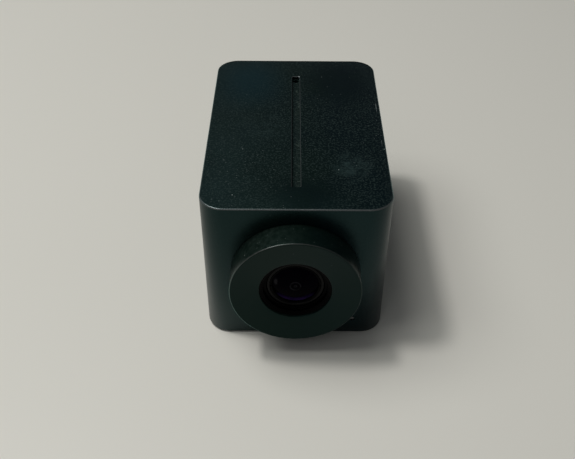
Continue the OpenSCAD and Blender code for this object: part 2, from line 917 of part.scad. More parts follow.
module card_socket() {
    socket_y = inner_rear_y - 0.2 - socket_l + wall - 0.4;
    color([0.58, 0.59, 0.61])
        difference() {
            block(card_x, socket_y - wall, board_top, socket_w, socket_l, socket_h);
            block(card_x, rear_y - port_gap - card_l - card_room, card_z - card_t / 2 - card_room,
                  card_w + 2 * card_room, card_l + wall, card_t + 2 * card_room);
        }
}

module memory_card() {
    color([0.05, 0.05, 0.055])
        difference() {
            block(card_x, rear_y - port_gap - card_l, card_z - card_t / 2, card_w, card_l, card_t);
            block(card_x, rear_y - port_gap - 1.2, card_z + card_t / 2 - 0.25, card_w - 2, 0.5, 1);
        }
}

module button_switch() {
    color([0.14, 0.14, 0.15])
        difference() {
            block(button_x, switch_front_y - switch_l, board_top, switch_w, switch_l, switch_h);
            rearward(button_x, switch_front_y - plunger_deep - button_travel - 0.1, button_z,
                     plunger_r + slip, plunger_deep + button_travel + 1);
        }
}

module switch_plunger() {
    color([0.75, 0.72, 0.66])
        rearward(button_x, switch_front_y - plunger_deep, button_z, plunger_r, plunger_l + plunger_deep);
}

module power_button() {
    color([0.07, 0.075, 0.08]) {
        rearward(button_x, inner_rear_y - button_flange_t, button_z, button_flange_r, button_flange_t - slip);
        rearward(button_x, inner_rear_y - slip - 0.1, button_z, button_r, wall + slip + 0.1 - port_gap / 2);
    }
}

module status_led() {
    color([0.90, 0.88, 0.70])
        block(arm_outer_x - led_w / 2, arm_front_y + 0.1, board_z - led_h, led_w, led_l, led_h);
}

module light_pipe() {
    color([0.75, 0.78, 0.80, 0.7]) {
        rearward(led_x, front_y + 0.1, led_z, pipe_r, wall);
        rearward(led_x, inner_front_y + slip, led_z, pipe_collar_r, pipe_collar_l);
    }
}

module mic_board() {
    color([0.03, 0.20, 0.11])
        difference() {
            block(0, mic_y - mic_board_l / 2, mic_board_z, mic_board_w, mic_board_l, mic_board_t);
            for (side = [-1, 1])
                translate([side * mic_post_x, mic_y, mic_board_z - 1])
                    cylinder(r = sensor_screw_r + fit, h = mic_board_t + 2);
            translate([0, mic_y, mic_board_z - 1])
                cylinder(r = mic_hole_r, h = mic_board_t + 2);
        }
}

module microphone() {
    color([0.70, 0.66, 0.50])
        block(0, mic_y - mic_w / 2, mic_board_z - mic_h, mic_w, mic_w, mic_h);
}

module mic_gasket() {
    color([0.05, 0.05, 0.05])
        translate([0, mic_y, mic_board_z + mic_board_t])
            difference() {
                cylinder(r = mic_gasket_r, h = mic_post_h);
                translate([0, 0, -1])
                    cylinder(r = mic_hole_r, h = mic_post_h + 2);
            }
}

module mic_screws() {
    color([0.60, 0.61, 0.63])
        for (side = [-1, 1])
            translate([side * mic_post_x, mic_y, mic_board_z])
                rotate([180, 0, 0])
                    upright_screw(sensor_screw_r, mic_screw_l + mic_board_t, small_head_r, small_head_h);
}

// The two sockets of the microphone's flat cable, one on each board.
module mic_connectors() {
    color([0.85, 0.82, 0.74]) {
        difference() {
            block(mic_plug_x, mic_y - mic_plug_l / 2, board_top, mic_plug_w, mic_plug_l, mic_plug_h);
            block(mic_plug_x, mic_y - flex_t, board_top + 0.4, mic_flex_w + 0.2, 2 * flex_t, mic_plug_h);
        }
        difference() {
            block(mic_plug_x, mic_y - mic_plug_l / 2, mic_board_z - mic_plug_h,
                  mic_plug_w, mic_plug_l, mic_plug_h);
            block(mic_plug_x, mic_y - flex_t, mic_board_z - mic_plug_h - 0.4,
                  mic_flex_w + 0.2, 2 * flex_t, mic_plug_h);
        }
    }
}

module mic_flex() {
    low = board_top + 0.5;
    high = mic_board_z - 0.5;
    color([0.62, 0.36, 0.10])
        block(mic_plug_x, mic_y - flex_t / 2, low, mic_flex_w, flex_t, high - low);
}

main_housing();
base_plate();
rubber_foot();
tripod_insert();
base_screws();
lens_barrel();
barrel_nut();
front_baffle();
lens_tube();
front_retainer();
front_element();
front_spacer();
middle_element();
aperture_stop();
rear_spacer();
rear_element();
lens_holder();
infrared_filter();
image_sensor();
sensor_board();
sensor_screws();
sensor_connector();
sensor_flex();
main_board();
board_screws();
board_connector();
processor();
thermal_pad();
heatsink();
heatsink_pins();
memory_chips();
motion_sensor();
power_inductors();
buffer_capacitors();
usb_shell();
usb_tongue();
card_socket();
memory_card();
button_switch();
switch_plunger();
power_button();
status_led();
light_pipe();
mic_board();
microphone();
mic_gasket();
mic_screws();
mic_connectors();
mic_flex();
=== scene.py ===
"""Looks of the box-shaped dash camera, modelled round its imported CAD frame."""
import json
import math

import bmesh
import bpy
from mathutils import Matrix, Vector


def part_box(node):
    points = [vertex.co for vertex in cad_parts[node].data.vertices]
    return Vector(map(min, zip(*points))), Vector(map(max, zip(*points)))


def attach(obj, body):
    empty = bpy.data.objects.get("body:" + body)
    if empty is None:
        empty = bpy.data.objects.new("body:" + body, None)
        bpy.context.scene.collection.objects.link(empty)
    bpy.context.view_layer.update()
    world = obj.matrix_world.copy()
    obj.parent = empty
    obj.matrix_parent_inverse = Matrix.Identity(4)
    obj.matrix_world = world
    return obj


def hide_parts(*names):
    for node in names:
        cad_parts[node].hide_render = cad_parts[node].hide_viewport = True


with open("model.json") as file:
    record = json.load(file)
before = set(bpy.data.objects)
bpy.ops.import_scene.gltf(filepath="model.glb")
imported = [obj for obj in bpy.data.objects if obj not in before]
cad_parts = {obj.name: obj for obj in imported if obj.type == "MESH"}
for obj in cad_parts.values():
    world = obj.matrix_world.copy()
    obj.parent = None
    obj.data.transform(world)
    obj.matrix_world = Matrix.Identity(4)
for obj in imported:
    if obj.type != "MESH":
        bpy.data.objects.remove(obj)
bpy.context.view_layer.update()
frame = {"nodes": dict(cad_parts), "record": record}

MM = 0.001

# ---------------------------------------------------------------- camera

VIEW_TARGET = Vector((-2.0, -32.45, 35.53)) * MM
VIEW_AZIMUTH = math.radians(0.233)
VIEW_ELEVATION = math.radians(40.046)
VIEW_ROLL = math.radians(0.22)
VIEW_DISTANCE = 182.4 * MM
VIEW_LENS = 48.59


def add_camera():
    """The camera stands in front of the lens, a little to the right, and looks down."""
    back = Vector((math.sin(VIEW_AZIMUTH) * math.cos(VIEW_ELEVATION),
                   -math.cos(VIEW_AZIMUTH) * math.cos(VIEW_ELEVATION),
                   math.sin(VIEW_ELEVATION)))
    data = bpy.data.cameras.new("view_camera")
    data.lens = VIEW_LENS
    data.sensor_width = 36.0
    data.clip_start = 0.01
    data.clip_end = 10.0
    camera = bpy.data.objects.new("view_camera", data)
    bpy.context.scene.collection.objects.link(camera)
    turn = (-back).to_track_quat("-Z", "Y").to_matrix().to_4x4()
    roll = Matrix.Rotation(VIEW_ROLL, 4, "Z")
    camera.matrix_world = Matrix.Translation(VIEW_TARGET + back * VIEW_DISTANCE) @ turn @ roll
    bpy.context.scene.camera = camera
    return camera


add_camera()

# ---------------------------------------------------------------- material helpers

ROOF_HEIGHT = 0.0415    # the top face, in metres
AXIS_HEIGHT = 0.0212    # the lens axis, in metres


class Nodes:
    """A short way to write one material's node tree."""

    def __init__(self, name):
        self.material = bpy.data.materials.new(name)
        self.material.use_nodes = True
        self.tree = self.material.node_tree
        self.tree.nodes.clear()
        self.output = self.add("ShaderNodeOutputMaterial")
        self.coordinates = self.add("ShaderNodeTexCoord").outputs["Object"]

    def add(self, kind, **settings):
        node = self.tree.nodes.new(kind)
        for key, value in settings.items():
            setattr(node, key, value)
        return node

    def link(self, source, target):
        self.tree.links.new(source, target)

    def shader(self, roughness, **sockets):
        """The principled shader, with the values that are the same all over."""
        node = self.add("ShaderNodeBsdfPrincipled")
        node.inputs["Roughness"].default_value = roughness
        for name, value in sockets.items():
            node.inputs[name.replace("_", " ")].default_value = value
        self.link(node.outputs[0], self.output.inputs["Surface"])
        return node

    def noise(self, scale, detail=4.0, roughness=0.55, vector=None, distortion=0.0):
        node = self.add("ShaderNodeTexNoise")
        node.inputs["Scale"].default_value = scale
        node.inputs["Detail"].default_value = detail
        node.inputs["Roughness"].default_value = roughness
        node.inputs["Distortion"].default_value = distortion
        self.link(vector or self.coordinates, node.inputs["Vector"])
        return node.outputs["Fac"]

    def cells(self, scale, vector=None, feature="F1", randomness=1.0, out="Distance"):
        node = self.add("ShaderNodeTexVoronoi", feature=feature)
        node.inputs["Scale"].default_value = scale
        node.inputs["Randomness"].default_value = randomness
        self.link(vector or self.coordinates, node.inputs["Vector"])
        return node.outputs[out]

    def stretched(self, scale=(1, 1, 1), turn=(0, 0, 0), place=(0, 0, 0)):
        node = self.add("ShaderNodeMapping")
        node.inputs["Location"].default_value = place
        node.inputs["Rotation"].default_value = turn
        node.inputs["Scale"].default_value = scale
        self.link(self.coordinates, node.inputs["Vector"])
        return node.outputs["Vector"]

    def ramp(self, source, low, high, to_low=0.0, to_high=1.0, smooth=True):
        """Maps source from low..high onto to_low..to_high, and holds it there beyond."""
        node = self.add("ShaderNodeMapRange")
        node.interpolation_type = "SMOOTHSTEP" if smooth else "LINEAR"
        self.link(source, node.inputs["Value"])
        node.inputs["From Min"].default_value = low
        node.inputs["From Max"].default_value = high
        node.inputs["To Min"].default_value = to_low
        node.inputs["To Max"].default_value = to_high
        return node.outputs["Result"]

    def math(self, operation, a, b=None):
        node = self.add("ShaderNodeMath", operation=operation)
        for socket, value in zip(node.inputs, (a, b)):
            if value is None:
                continue
            if isinstance(value, (int, float)):
                socket.default_value = value
            else:
                self.link(value, socket)
        return node.outputs[0]

    def mix(self, factor, a, b):
        """Blends two colours."""
        node = self.add("ShaderNodeMix", data_type="RGBA")
        if isinstance(factor, (int, float)):
            node.inputs["Factor"].default_value = factor
        else:
            self.link(factor, node.inputs["Factor"])
        for socket, value in ((node.inputs["A"], a), (node.inputs["B"], b)):
            if isinstance(value, tuple):
                socket.default_value = (*value, 1.0)
            else:
                self.link(value, socket)
        return node.outputs["Result"]

    def bump(self, height, strength, distance, normal=None):
        node = self.add("ShaderNodeBump")
        node.inputs["Strength"].default_value = strength
        node.inputs["Distance"].default_value = distance
        self.link(height, node.inputs["Height"])
        if normal is not None:
            self.link(normal, node.inputs["Normal"])
        return node.outputs["Normal"]


def facing(n, axis, sign=1.0):
    """How much the surface looks along the axis, from -1 to 1."""
    split = n.add("ShaderNodeSeparateXYZ")
    n.link(n.add("ShaderNodeNewGeometry").outputs["Normal"], split.inputs[0])
    return n.math("MULTIPLY", split.outputs[axis], sign)


def dust_on(n, size, cover, where, radius=0.16, brightest=1.0):
    """Scattered specks of dust, one at most in each cell of the size, more where the mask is high."""
    cell = 1.0 / size
    specks = n.ramp(n.cells(cell, out="Distance"), 0.45 * radius, radius, 1.0, 0.0)
    chance = n.add("ShaderNodeSeparateColor")
    n.link(n.cells(cell, out="Color"), chance.inputs[0])
    limit = n.math("SUBTRACT", 1.0, n.math("MULTIPLY", where, cover))
    kept = n.math("GREATER_THAN", chance.outputs["Red"], limit)
    strength = n.math("MULTIPLY", n.ramp(chance.outputs["Green"], 0.0, 1.0, 0.25, brightest), kept)
    return n.math("MULTIPLY", specks, strength)


def edge_highlight_mask(n, axis, sign=1.0):
    """1 on the narrow rounded edge round a face that looks along the axis, 0 elsewhere: where a painted
    highlight goes.
    """
    tilt = facing(n, axis, sign)
    return n.math("MULTIPLY", n.ramp(tilt, 0.12, 0.35), n.ramp(tilt, 0.86, 0.975, 1.0, 0.0))


def spot(n, place, radius, soft=0.4):
    """1 within the radius round a place on the object, fading to 0; radius may differ by axis."""
    near = n.stretched(scale=tuple(1.0 / r for r in radius),
                       place=tuple(-p / r for p, r in zip(place, radius)))
    length = n.add("ShaderNodeVectorMath", operation="LENGTH")
    n.link(near, length.inputs[0])
    return n.ramp(length.outputs["Value"], 1.0 - soft, 1.0, 1.0, 0.0)


def scratches(n, place, radius, turn, width):
    """A few fine parallel scratches inside one small patch."""
    lines = n.noise(1.0 / width, 1.0, vector=n.stretched(scale=(1, 0.05, 1), turn=(0, 0, turn)))
    broken = n.ramp(n.noise(700.0, 2.0), 0.42, 0.55)
    return n.math("MULTIPLY", n.math("MULTIPLY", n.ramp(lines, 0.64, 0.70), broken), spot(n, place, radius))


def housing_finish():
    """Fine matt sprayed black: a speckled grain, dust, a handled patch and scratches on the roof, with
    painted light and shade: lighter on the left, darker on the right and in two roof patches, a sheen at the
    rear left, a shadow in the groove and highlights on the edges.
    """
    n = Nodes("housing_black")
    shader = n.shader(0.33, Specular_IOR_Level=0.32, Specular_Tint=(0.44, 0.95, 0.97, 1.0))
    split = n.add("ShaderNodeSeparateXYZ")
    n.link(n.coordinates, split.inputs[0])
    across, along = split.outputs["X"], split.outputs["Y"]
    upward = n.ramp(facing(n, "Z"), 0.3, 0.9)
    # Random tone from noise, plus painted shade: the housing goes darker and bluer towards its right (+X)
    # side, away from the light.
    tint = n.ramp(n.math("ADD", n.noise(26.0, 3.0), n.math("MULTIPLY", across, 6.0)), 0.36, 0.62)
    base = n.mix(tint, (0.0012, 0.0046, 0.0036), (0.0002, 0.0024, 0.0042))
    # Painted light: the roof is lighter on its left side, where the light falls.
    roof_left_light = n.math("MULTIPLY", n.ramp(across, -0.021, 0.004, 1.0, 0.0),
                   n.ramp(n.noise(40.0, 3.0), 0.3, 0.7, 0.4, 1.0))
    base = n.mix(n.math("MULTIPLY", roof_left_light, upward), base, (0.0055, 0.0120, 0.0125))
    grain = n.noise(2100.0, 2.0, 0.7)
    # Painted shade: less of the pale grain at the front middle and rear right of the roof, so it looks darker
    # there.
    shaded_roof_patches = n.math("MAXIMUM", spot(n, (0.0020, -0.0270, ROOF_HEIGHT), (0.014, 0.012, 0.01), 0.9),
                   spot(n, (0.0120, 0.0260, ROOF_HEIGHT), (0.015, 0.020, 0.01), 0.9))
    shown = n.math("MULTIPLY", n.ramp(upward, 0.0, 1.0, 0.12, 1.0), n.ramp(shaded_roof_patches, 0.0, 1.0, 1.0, 0.10))
    base = n.mix(n.math("MULTIPLY", n.ramp(grain, 0.49, 0.63), shown), base, (0.017, 0.027, 0.026))
    # Painted reflection: a lighter, bluer sheen on the rear left of the roof.
    back = n.math("MULTIPLY", spot(n, (-0.0130, 0.0270, ROOF_HEIGHT), (0.014, 0.020, 0.01), 0.9), upward)
    base = n.mix(n.math("MULTIPLY", back, 0.6), base, (0.0030, 0.0170, 0.0240))
    patch = spot(n, (0.0140, -0.0158, ROOF_HEIGHT), (0.0068, 0.0085, 0.004), 0.8)
    smear = spot(n, (-0.0077, 0.0026, ROOF_HEIGHT), (0.0090, 0.0100, 0.004), 0.9)
    cloudy = n.ramp(n.noise(420.0, 4.0, 0.65, distortion=0.5), 0.35, 0.70)
    marks = n.math("MULTIPLY", n.math("MAXIMUM", patch, n.math("MULTIPLY", smear, 0.45)), cloudy)
    base = n.mix(n.math("MULTIPLY", marks, 0.7), base, (0.020, 0.034, 0.034))
    busy = n.math("MAXIMUM", spot(n, (-0.0150, -0.0180, ROOF_HEIGHT), (0.022, 0.024, 0.01), 0.9),
                  spot(n, (0.0215, 0.0060, ROOF_HEIGHT), (0.006, 0.030, 0.01), 0.9))
    busy = n.math("MAXIMUM", busy, n.math("MULTIPLY", patch, 0.8))
    where = n.math("MULTIPLY", n.math("MAXIMUM", busy, n.ramp(n.noise(90.0, 3.0), 0.35, 0.70, 0.02, 0.22)),
                   n.ramp(upward, 0.0, 1.0, 0.06, 1.0))
    dust = n.math("MAXIMUM", dust_on(n, 0.0006, 0.20, where, 0.26, 0.24),
                  dust_on(n, 0.0015, 0.10, where, 0.13, 0.9))
    inside = n.math("MULTIPLY", n.ramp(split.outputs["Z"], 0.0405, 0.0412, 1.0, 0.0),
                    n.ramp(split.outputs["Z"], 0.0402, 0.0404))
    lint_and_groove_shadow = n.math("MULTIPLY", n.math("MULTIPLY", inside, upward),
                  n.ramp(n.noise(1000.0, 3.0, 0.7), 0.54, 0.68, 0.10, 1.0))
    # Painted shadow: the lint is dimmed on the left part of the groove floor, which the groove's left wall
    # shades.
    lint_and_groove_shadow = n.math("MULTIPLY", lint_and_groove_shadow, n.ramp(across, -0.0004, 0.0003, 0.25, 1.0))
    base = n.mix(n.math("MULTIPLY", lint_and_groove_shadow, 0.9), base, (0.040, 0.055, 0.048))
    marked = n.math("MAXIMUM", scratches(n, (0.0200, -0.0010, ROOF_HEIGHT), (0.0030, 0.0080, 0.003), 0.5,
                                         0.0006),
                    scratches(n, (0.0220, 0.0090, ROOF_HEIGHT), (0.0020, 0.0070, 0.003), -0.3, 0.0005))
    base = n.mix(n.math("MAXIMUM", dust, n.math("MULTIPLY", n.math("MULTIPLY", marked, upward), 0.5)),
                 base, (0.27, 0.31, 0.31))
    # Painted highlight: the rounded edges round the roof are paler and partly metallic, so they shine.
    edges = n.math("MULTIPLY", edge_highlight_mask(n, "Z"), n.ramp(n.noise(150.0, 3.0), 0.3, 0.7, 0.65, 1.0))
    base = n.mix(edges, base, (0.160, 0.172, 0.178))
    n.link(base, shader.inputs["Base Color"])
    n.link(n.math("MULTIPLY", edges, 0.8), shader.inputs["Metallic"])
    rough = n.ramp(n.noise(90.0, 4.0), 0.3, 0.7, 0.30, 0.36)
    n.link(n.math("ADD", rough, n.math("MULTIPLY", marks, 0.15)), shader.inputs["Roughness"])
    n.link(n.bump(grain, 0.30, 0.00005), shader.inputs["Normal"])
    return n.material


def barrel_finish():
    """Satin black metal paint, a touch greener and finer than the housing, with dust and painted light on its
    top and a painted highlight on its front edge.
    """
    n = Nodes("barrel_black")
    shader = n.shader(0.31, Specular_IOR_Level=0.155, Specular_Tint=(0.46, 1.0, 0.92, 1.0))
    tint = n.ramp(n.noise(30.0, 3.0), 0.35, 0.65)
    base = n.mix(tint, (0.0016, 0.0052, 0.0036), (0.0016, 0.0050, 0.0050))
    upward = n.ramp(facing(n, "Z"), 0.25, 0.9, 0.03, 1.0)
    where = n.math("MULTIPLY", n.ramp(n.noise(110.0, 3.0), 0.30, 0.62, 0.25, 1.0), upward)
    split = n.add("ShaderNodeSeparateXYZ")
    n.link(n.coordinates, split.inputs[0])
    # Dust haze on the barrel's top, partly real dust and partly painted light: lighter towards the left,
    # where the light falls.
    left = n.ramp(split.outputs["X"], -0.009, 0.006, 1.0, 0.12)
    dust_haze_and_light = n.math("MULTIPLY", n.ramp(n.noise(900.0, 4.0, 0.7), 0.36, 0.66, 0.25, 1.0),
                  n.math("MULTIPLY", upward, left))
    base = n.mix(dust_haze_and_light, base, (0.012, 0.020, 0.017))
    dust = n.math("MAXIMUM", dust_on(n, 0.0006, 0.16, where, 0.22, 0.30),
                  dust_on(n, 0.0017, 0.10, where, 0.11, 0.7))
    base = n.mix(dust, base, (0.20, 0.23, 0.22))
    # Painted highlight on the rounded front edge of the barrel, paler and partly metallic, strongest on the
    # left.
    edges = n.math("MULTIPLY", edge_highlight_mask(n, "Y", -1.0), n.ramp(n.noise(170.0, 3.0), 0.3, 0.7, 0.6, 1.0))
    rim = n.add("ShaderNodeVectorMath", operation="LENGTH")
    n.link(n.stretched(scale=(1, 0, 1), place=(0, 0, -AXIS_HEIGHT)), rim.inputs[0])
    edges = n.math("MULTIPLY", edges, n.ramp(rim.outputs["Value"], 0.0150, 0.0155))
    edges = n.math("MULTIPLY", edges, n.ramp(split.outputs["X"], -0.010, 0.010, 1.0, 0.30))
    base = n.mix(edges, base, (0.100, 0.108, 0.106))
    n.link(base, shader.inputs["Base Color"])
    n.link(n.math("MULTIPLY", edges, 0.8), shader.inputs["Metallic"])
    n.link(n.ramp(n.noise(160.0, 3.0), 0.3, 0.7, 0.28, 0.34), shader.inputs["Roughness"])
    n.link(n.bump(n.noise(3200.0, 2.0), 0.2, 0.00004), shader.inputs["Normal"])
    return n.material


def moulded(name, dark, light, roughness, grain=900.0, depth=0.00004, **sockets):
    """A moulded or cast surface: two close tones, a varied gloss and a fine grain."""
    n = Nodes(name)
    shader = n.shader(roughness, **sockets)
    n.link(n.mix(n.ramp(n.noise(120.0, 3.0), 0.35, 0.65), dark, light), shader.inputs["Base Color"])
    n.link(n.ramp(n.noise(300.0, 3.0), 0.3, 0.7, roughness - 0.06, roughness + 0.06),
           shader.inputs["Roughness"])
    n.link(n.bump(n.noise(grain, 3.0), 0.25, depth), shader.inputs["Normal"])
    return n.material


def metal(name, dark, light, roughness, along=(1, 1, 1)):
    """A worked metal with fine lines along one direction."""
    n = Nodes(name)
    shader = n.shader(roughness, Metallic=1.0)
    lines = n.noise(1400.0, 3.0, vector=n.stretched(scale=along))
    n.link(n.mix(n.ramp(lines, 0.35, 0.65), dark, light), shader.inputs["Base Color"])
    n.link(n.ramp(lines, 0.3, 0.7, roughness - 0.08, roughness + 0.08), shader.inputs["Roughness"])
    n.link(n.bump(lines, 0.2, 0.00002), shader.inputs["Normal"])
    return n.material


def coated_glass(name, dark, light, gloss):
    """A coated glass surface against black: very dark, with a violet gloss."""
    n = Nodes(name)
    shader = n.shader(0.14, Specular_IOR_Level=gloss, Specular_Tint=(0.55, 0.36, 1.0, 1.0))
    n.link(n.mix(n.ramp(n.noise(200.0, 2.0), 0.4, 0.6), dark, light), shader.inputs["Base Color"])
    return n.material


def front_glass_finish():
    """The front glass: black, with painted reflections: faint rings near the middle, a glint on the left and
    a violet crescent low on its rim.
    """
    n = Nodes("lens_front_glass")
    shader = n.shader(0.12, Specular_IOR_Level=0.012, Specular_Tint=(0.55, 0.36, 1.0, 1.0))
    out = n.add("ShaderNodeVectorMath", operation="LENGTH")
    n.link(n.stretched(scale=(1, 0, 1), place=(0, 0, -AXIS_HEIGHT)), out.inputs[0])
    out = out.outputs["Value"]
    split = n.add("ShaderNodeSeparateXYZ")
    n.link(n.coordinates, split.inputs[0])
    base = n.mix(n.ramp(n.noise(200.0, 2.0), 0.4, 0.6), (0.0004, 0.0003, 0.0007), (0.0006, 0.0005, 0.0010))
    # Painted reflection: faint concentric rings near the middle of the glass.
    wave = n.math("SINE", n.math("MULTIPLY", out, 6200.0))
    rings = n.math("MULTIPLY", n.ramp(wave, 0.0, 1.0), n.ramp(out, 0.0008, 0.0024, 1.0, 0.0))
    rings = n.math("MULTIPLY", rings, n.ramp(n.noise(900.0, 2.0), 0.35, 0.65, 0.2, 1.0))
    base = n.mix(n.math("MULTIPLY", rings, 0.8), base, (0.022, 0.021, 0.024))
    glint = n.math("MULTIPLY", spot(n, (-0.0048, -0.0360, 0.0222), (0.0007, 0.004, 0.0015), 0.8),
                   n.ramp(n.noise(1500.0, 2.0), 0.35, 0.6, 0.3, 1.0))
    base = n.mix(glint, base, (0.026, 0.026, 0.028))
    # Painted reflection: a violet crescent on the lower part of the glass's rim.
    low = n.ramp(split.outputs["Z"], 0.0161, 0.0190, 1.0, 0.0)
    painted_violet_crescent = n.math("MULTIPLY", n.math("MULTIPLY", n.ramp(out, 0.0038, 0.0050), low),
                   n.ramp(n.noise(330.0, 2.0), 0.3, 0.7, 0.55, 1.0))
    base = n.mix(painted_violet_crescent, base, (0.022, 0.010, 0.060))
    n.link(base, shader.inputs["Base Color"])
    return n.material


def board_finish():
    """Green solder mask over faint copper tracks."""
    n = Nodes("circuit_board_green")
    shader = n.shader(0.35)
    tracks = n.ramp(n.cells(420.0, feature="DISTANCE_TO_EDGE", randomness=0.25), 0.03, 0.06)
    n.link(n.mix(tracks, (0.020, 0.115, 0.050), (0.008, 0.070, 0.030)), shader.inputs["Base Color"])
    n.link(n.ramp(n.noise(500.0), 0.3, 0.7, 0.30, 0.42), shader.inputs["Roughness"])
    n.link(n.bump(tracks, 0.2, 0.00003), shader.inputs["Normal"])
    return n.material


LENS_FRONT = front_glass_finish()
LENS_RIM = moulded("lens_rim_black", (0.0008, 0.0008, 0.0011), (0.0016, 0.0015, 0.0019), 0.32,
                   Specular_IOR_Level=0.09)
FINISHES = {
    "housing": housing_finish(),
    "barrel": barrel_finish(),
    "base": moulded("base_black", (0.010, 0.013, 0.014), (0.015, 0.018, 0.019), 0.55),
    "foot": moulded("foot_rubber", (0.011, 0.011, 0.011), (0.018, 0.018, 0.018), 0.75, 1500.0, 0.00008),
    "insert": metal("insert_brass", (0.55, 0.38, 0.15), (0.72, 0.55, 0.26), 0.30, (1, 1, 8)),
    "screw_steel": metal("screw_steel", (0.42, 0.43, 0.45), (0.60, 0.61, 0.62), 0.30),
    "nut": metal("nut_aluminium", (0.45, 0.46, 0.48), (0.60, 0.61, 0.63), 0.35, (1, 8, 1)),
    "lens_black": moulded("lens_black", (0.0004, 0.0004, 0.0007), (0.0008, 0.0007, 0.0011), 0.36,
                          Specular_IOR_Level=0.03),
    "lens_glass": coated_glass("lens_glass", (0.0006, 0.0004, 0.0010), (0.0009, 0.0006, 0.0014), 0.30),
    "filter_glass": coated_glass("filter_glass", (0.010, 0.004, 0.012), (0.012, 0.005, 0.015), 0.3),
    "silicon": moulded("sensor_silicon", (0.05, 0.07, 0.09), (0.09, 0.11, 0.15), 0.20),
    "circuit_board": board_finish(),
    "connector": moulded("connector_cream", (0.50, 0.46, 0.36), (0.58, 0.54, 0.44), 0.50),
    "flat_cable": moulded("flat_cable_amber", (0.30, 0.13, 0.03), (0.40, 0.19, 0.05), 0.25),
    "chip": moulded("chip_black", (0.012, 0.012, 0.013), (0.020, 0.020, 0.022), 0.50),
    "gap_pad": moulded("gap_pad_grey", (0.26, 0.32, 0.40), (0.32, 0.38, 0.46), 0.80),
    "heatsink": metal("heatsink_aluminium", (0.36, 0.37, 0.39), (0.50, 0.51, 0.53), 0.40, (1, 0.1, 1)),
    "pin_nylon": moulded("pin_nylon", (0.60, 0.60, 0.54), (0.68, 0.68, 0.62), 0.50),
    "inductor": moulded("inductor_grey", (0.06, 0.06, 0.065), (0.10, 0.10, 0.105), 0.60),
    "capacitor": moulded("capacitor_blue", (0.02, 0.025, 0.10), (0.03, 0.035, 0.13), 0.35),
    "shell_steel": metal("shell_steel", (0.42, 0.43, 0.44), (0.55, 0.56, 0.57), 0.28, (1, 0.1, 1)),
    "tongue": moulded("tongue_black", (0.010, 0.010, 0.011), (0.016, 0.016, 0.017), 0.45),
    "card": moulded("card_black", (0.010, 0.010, 0.012), (0.016, 0.016, 0.018), 0.42),
    "switch_body": moulded("switch_black", (0.02, 0.02, 0.022), (0.03, 0.03, 0.033), 0.45),
    "plunger": moulded("plunger_cream", (0.44, 0.41, 0.34), (0.50, 0.47, 0.40), 0.40),
    "button": moulded("button_black", (0.010, 0.012, 0.014), (0.015, 0.017, 0.020), 0.48),
    "led": moulded("led_epoxy", (0.66, 0.62, 0.38), (0.74, 0.70, 0.46), 0.25),
    "light_pipe": moulded("light_pipe_clear", (0.060, 0.066, 0.070), (0.085, 0.090, 0.095), 0.22),
    "mic_can": metal("mic_can_gilt", (0.46, 0.38, 0.18), (0.60, 0.50, 0.26), 0.30),
    "gasket": moulded("gasket_black", (0.011, 0.011, 0.011), (0.017, 0.017, 0.017), 0.80),
}


def paint(thing, finish):
    thing.data.materials.clear()
    thing.data.materials.append(FINISHES[finish])


for part in frame["record"]["subparts"]:
    paint(frame["nodes"][part["node"]], part["material_slot"])

# ---------------------------------------------------------------- modelling helpers

QUARTER = math.radians(90)


def fresh(name, kind, **settings):
    """A new primitive, alone in the selection, with its place and turn in its mesh."""
    bpy.ops.object.select_all(action="DESELECT")
    getattr(bpy.ops.mesh, "primitive_" + kind + "_add")(**settings)
    thing = bpy.context.object
    thing.name = name
    thing.data.name = name
    bpy.ops.object.transform_apply(location=True, rotation=True, scale=True)
    return thing


def only(thing):
    """Makes thing the active object and the only selected one."""
    bpy.ops.object.select_all(action="DESELECT")
    thing.select_set(True)
    bpy.context.view_layer.objects.active = thing


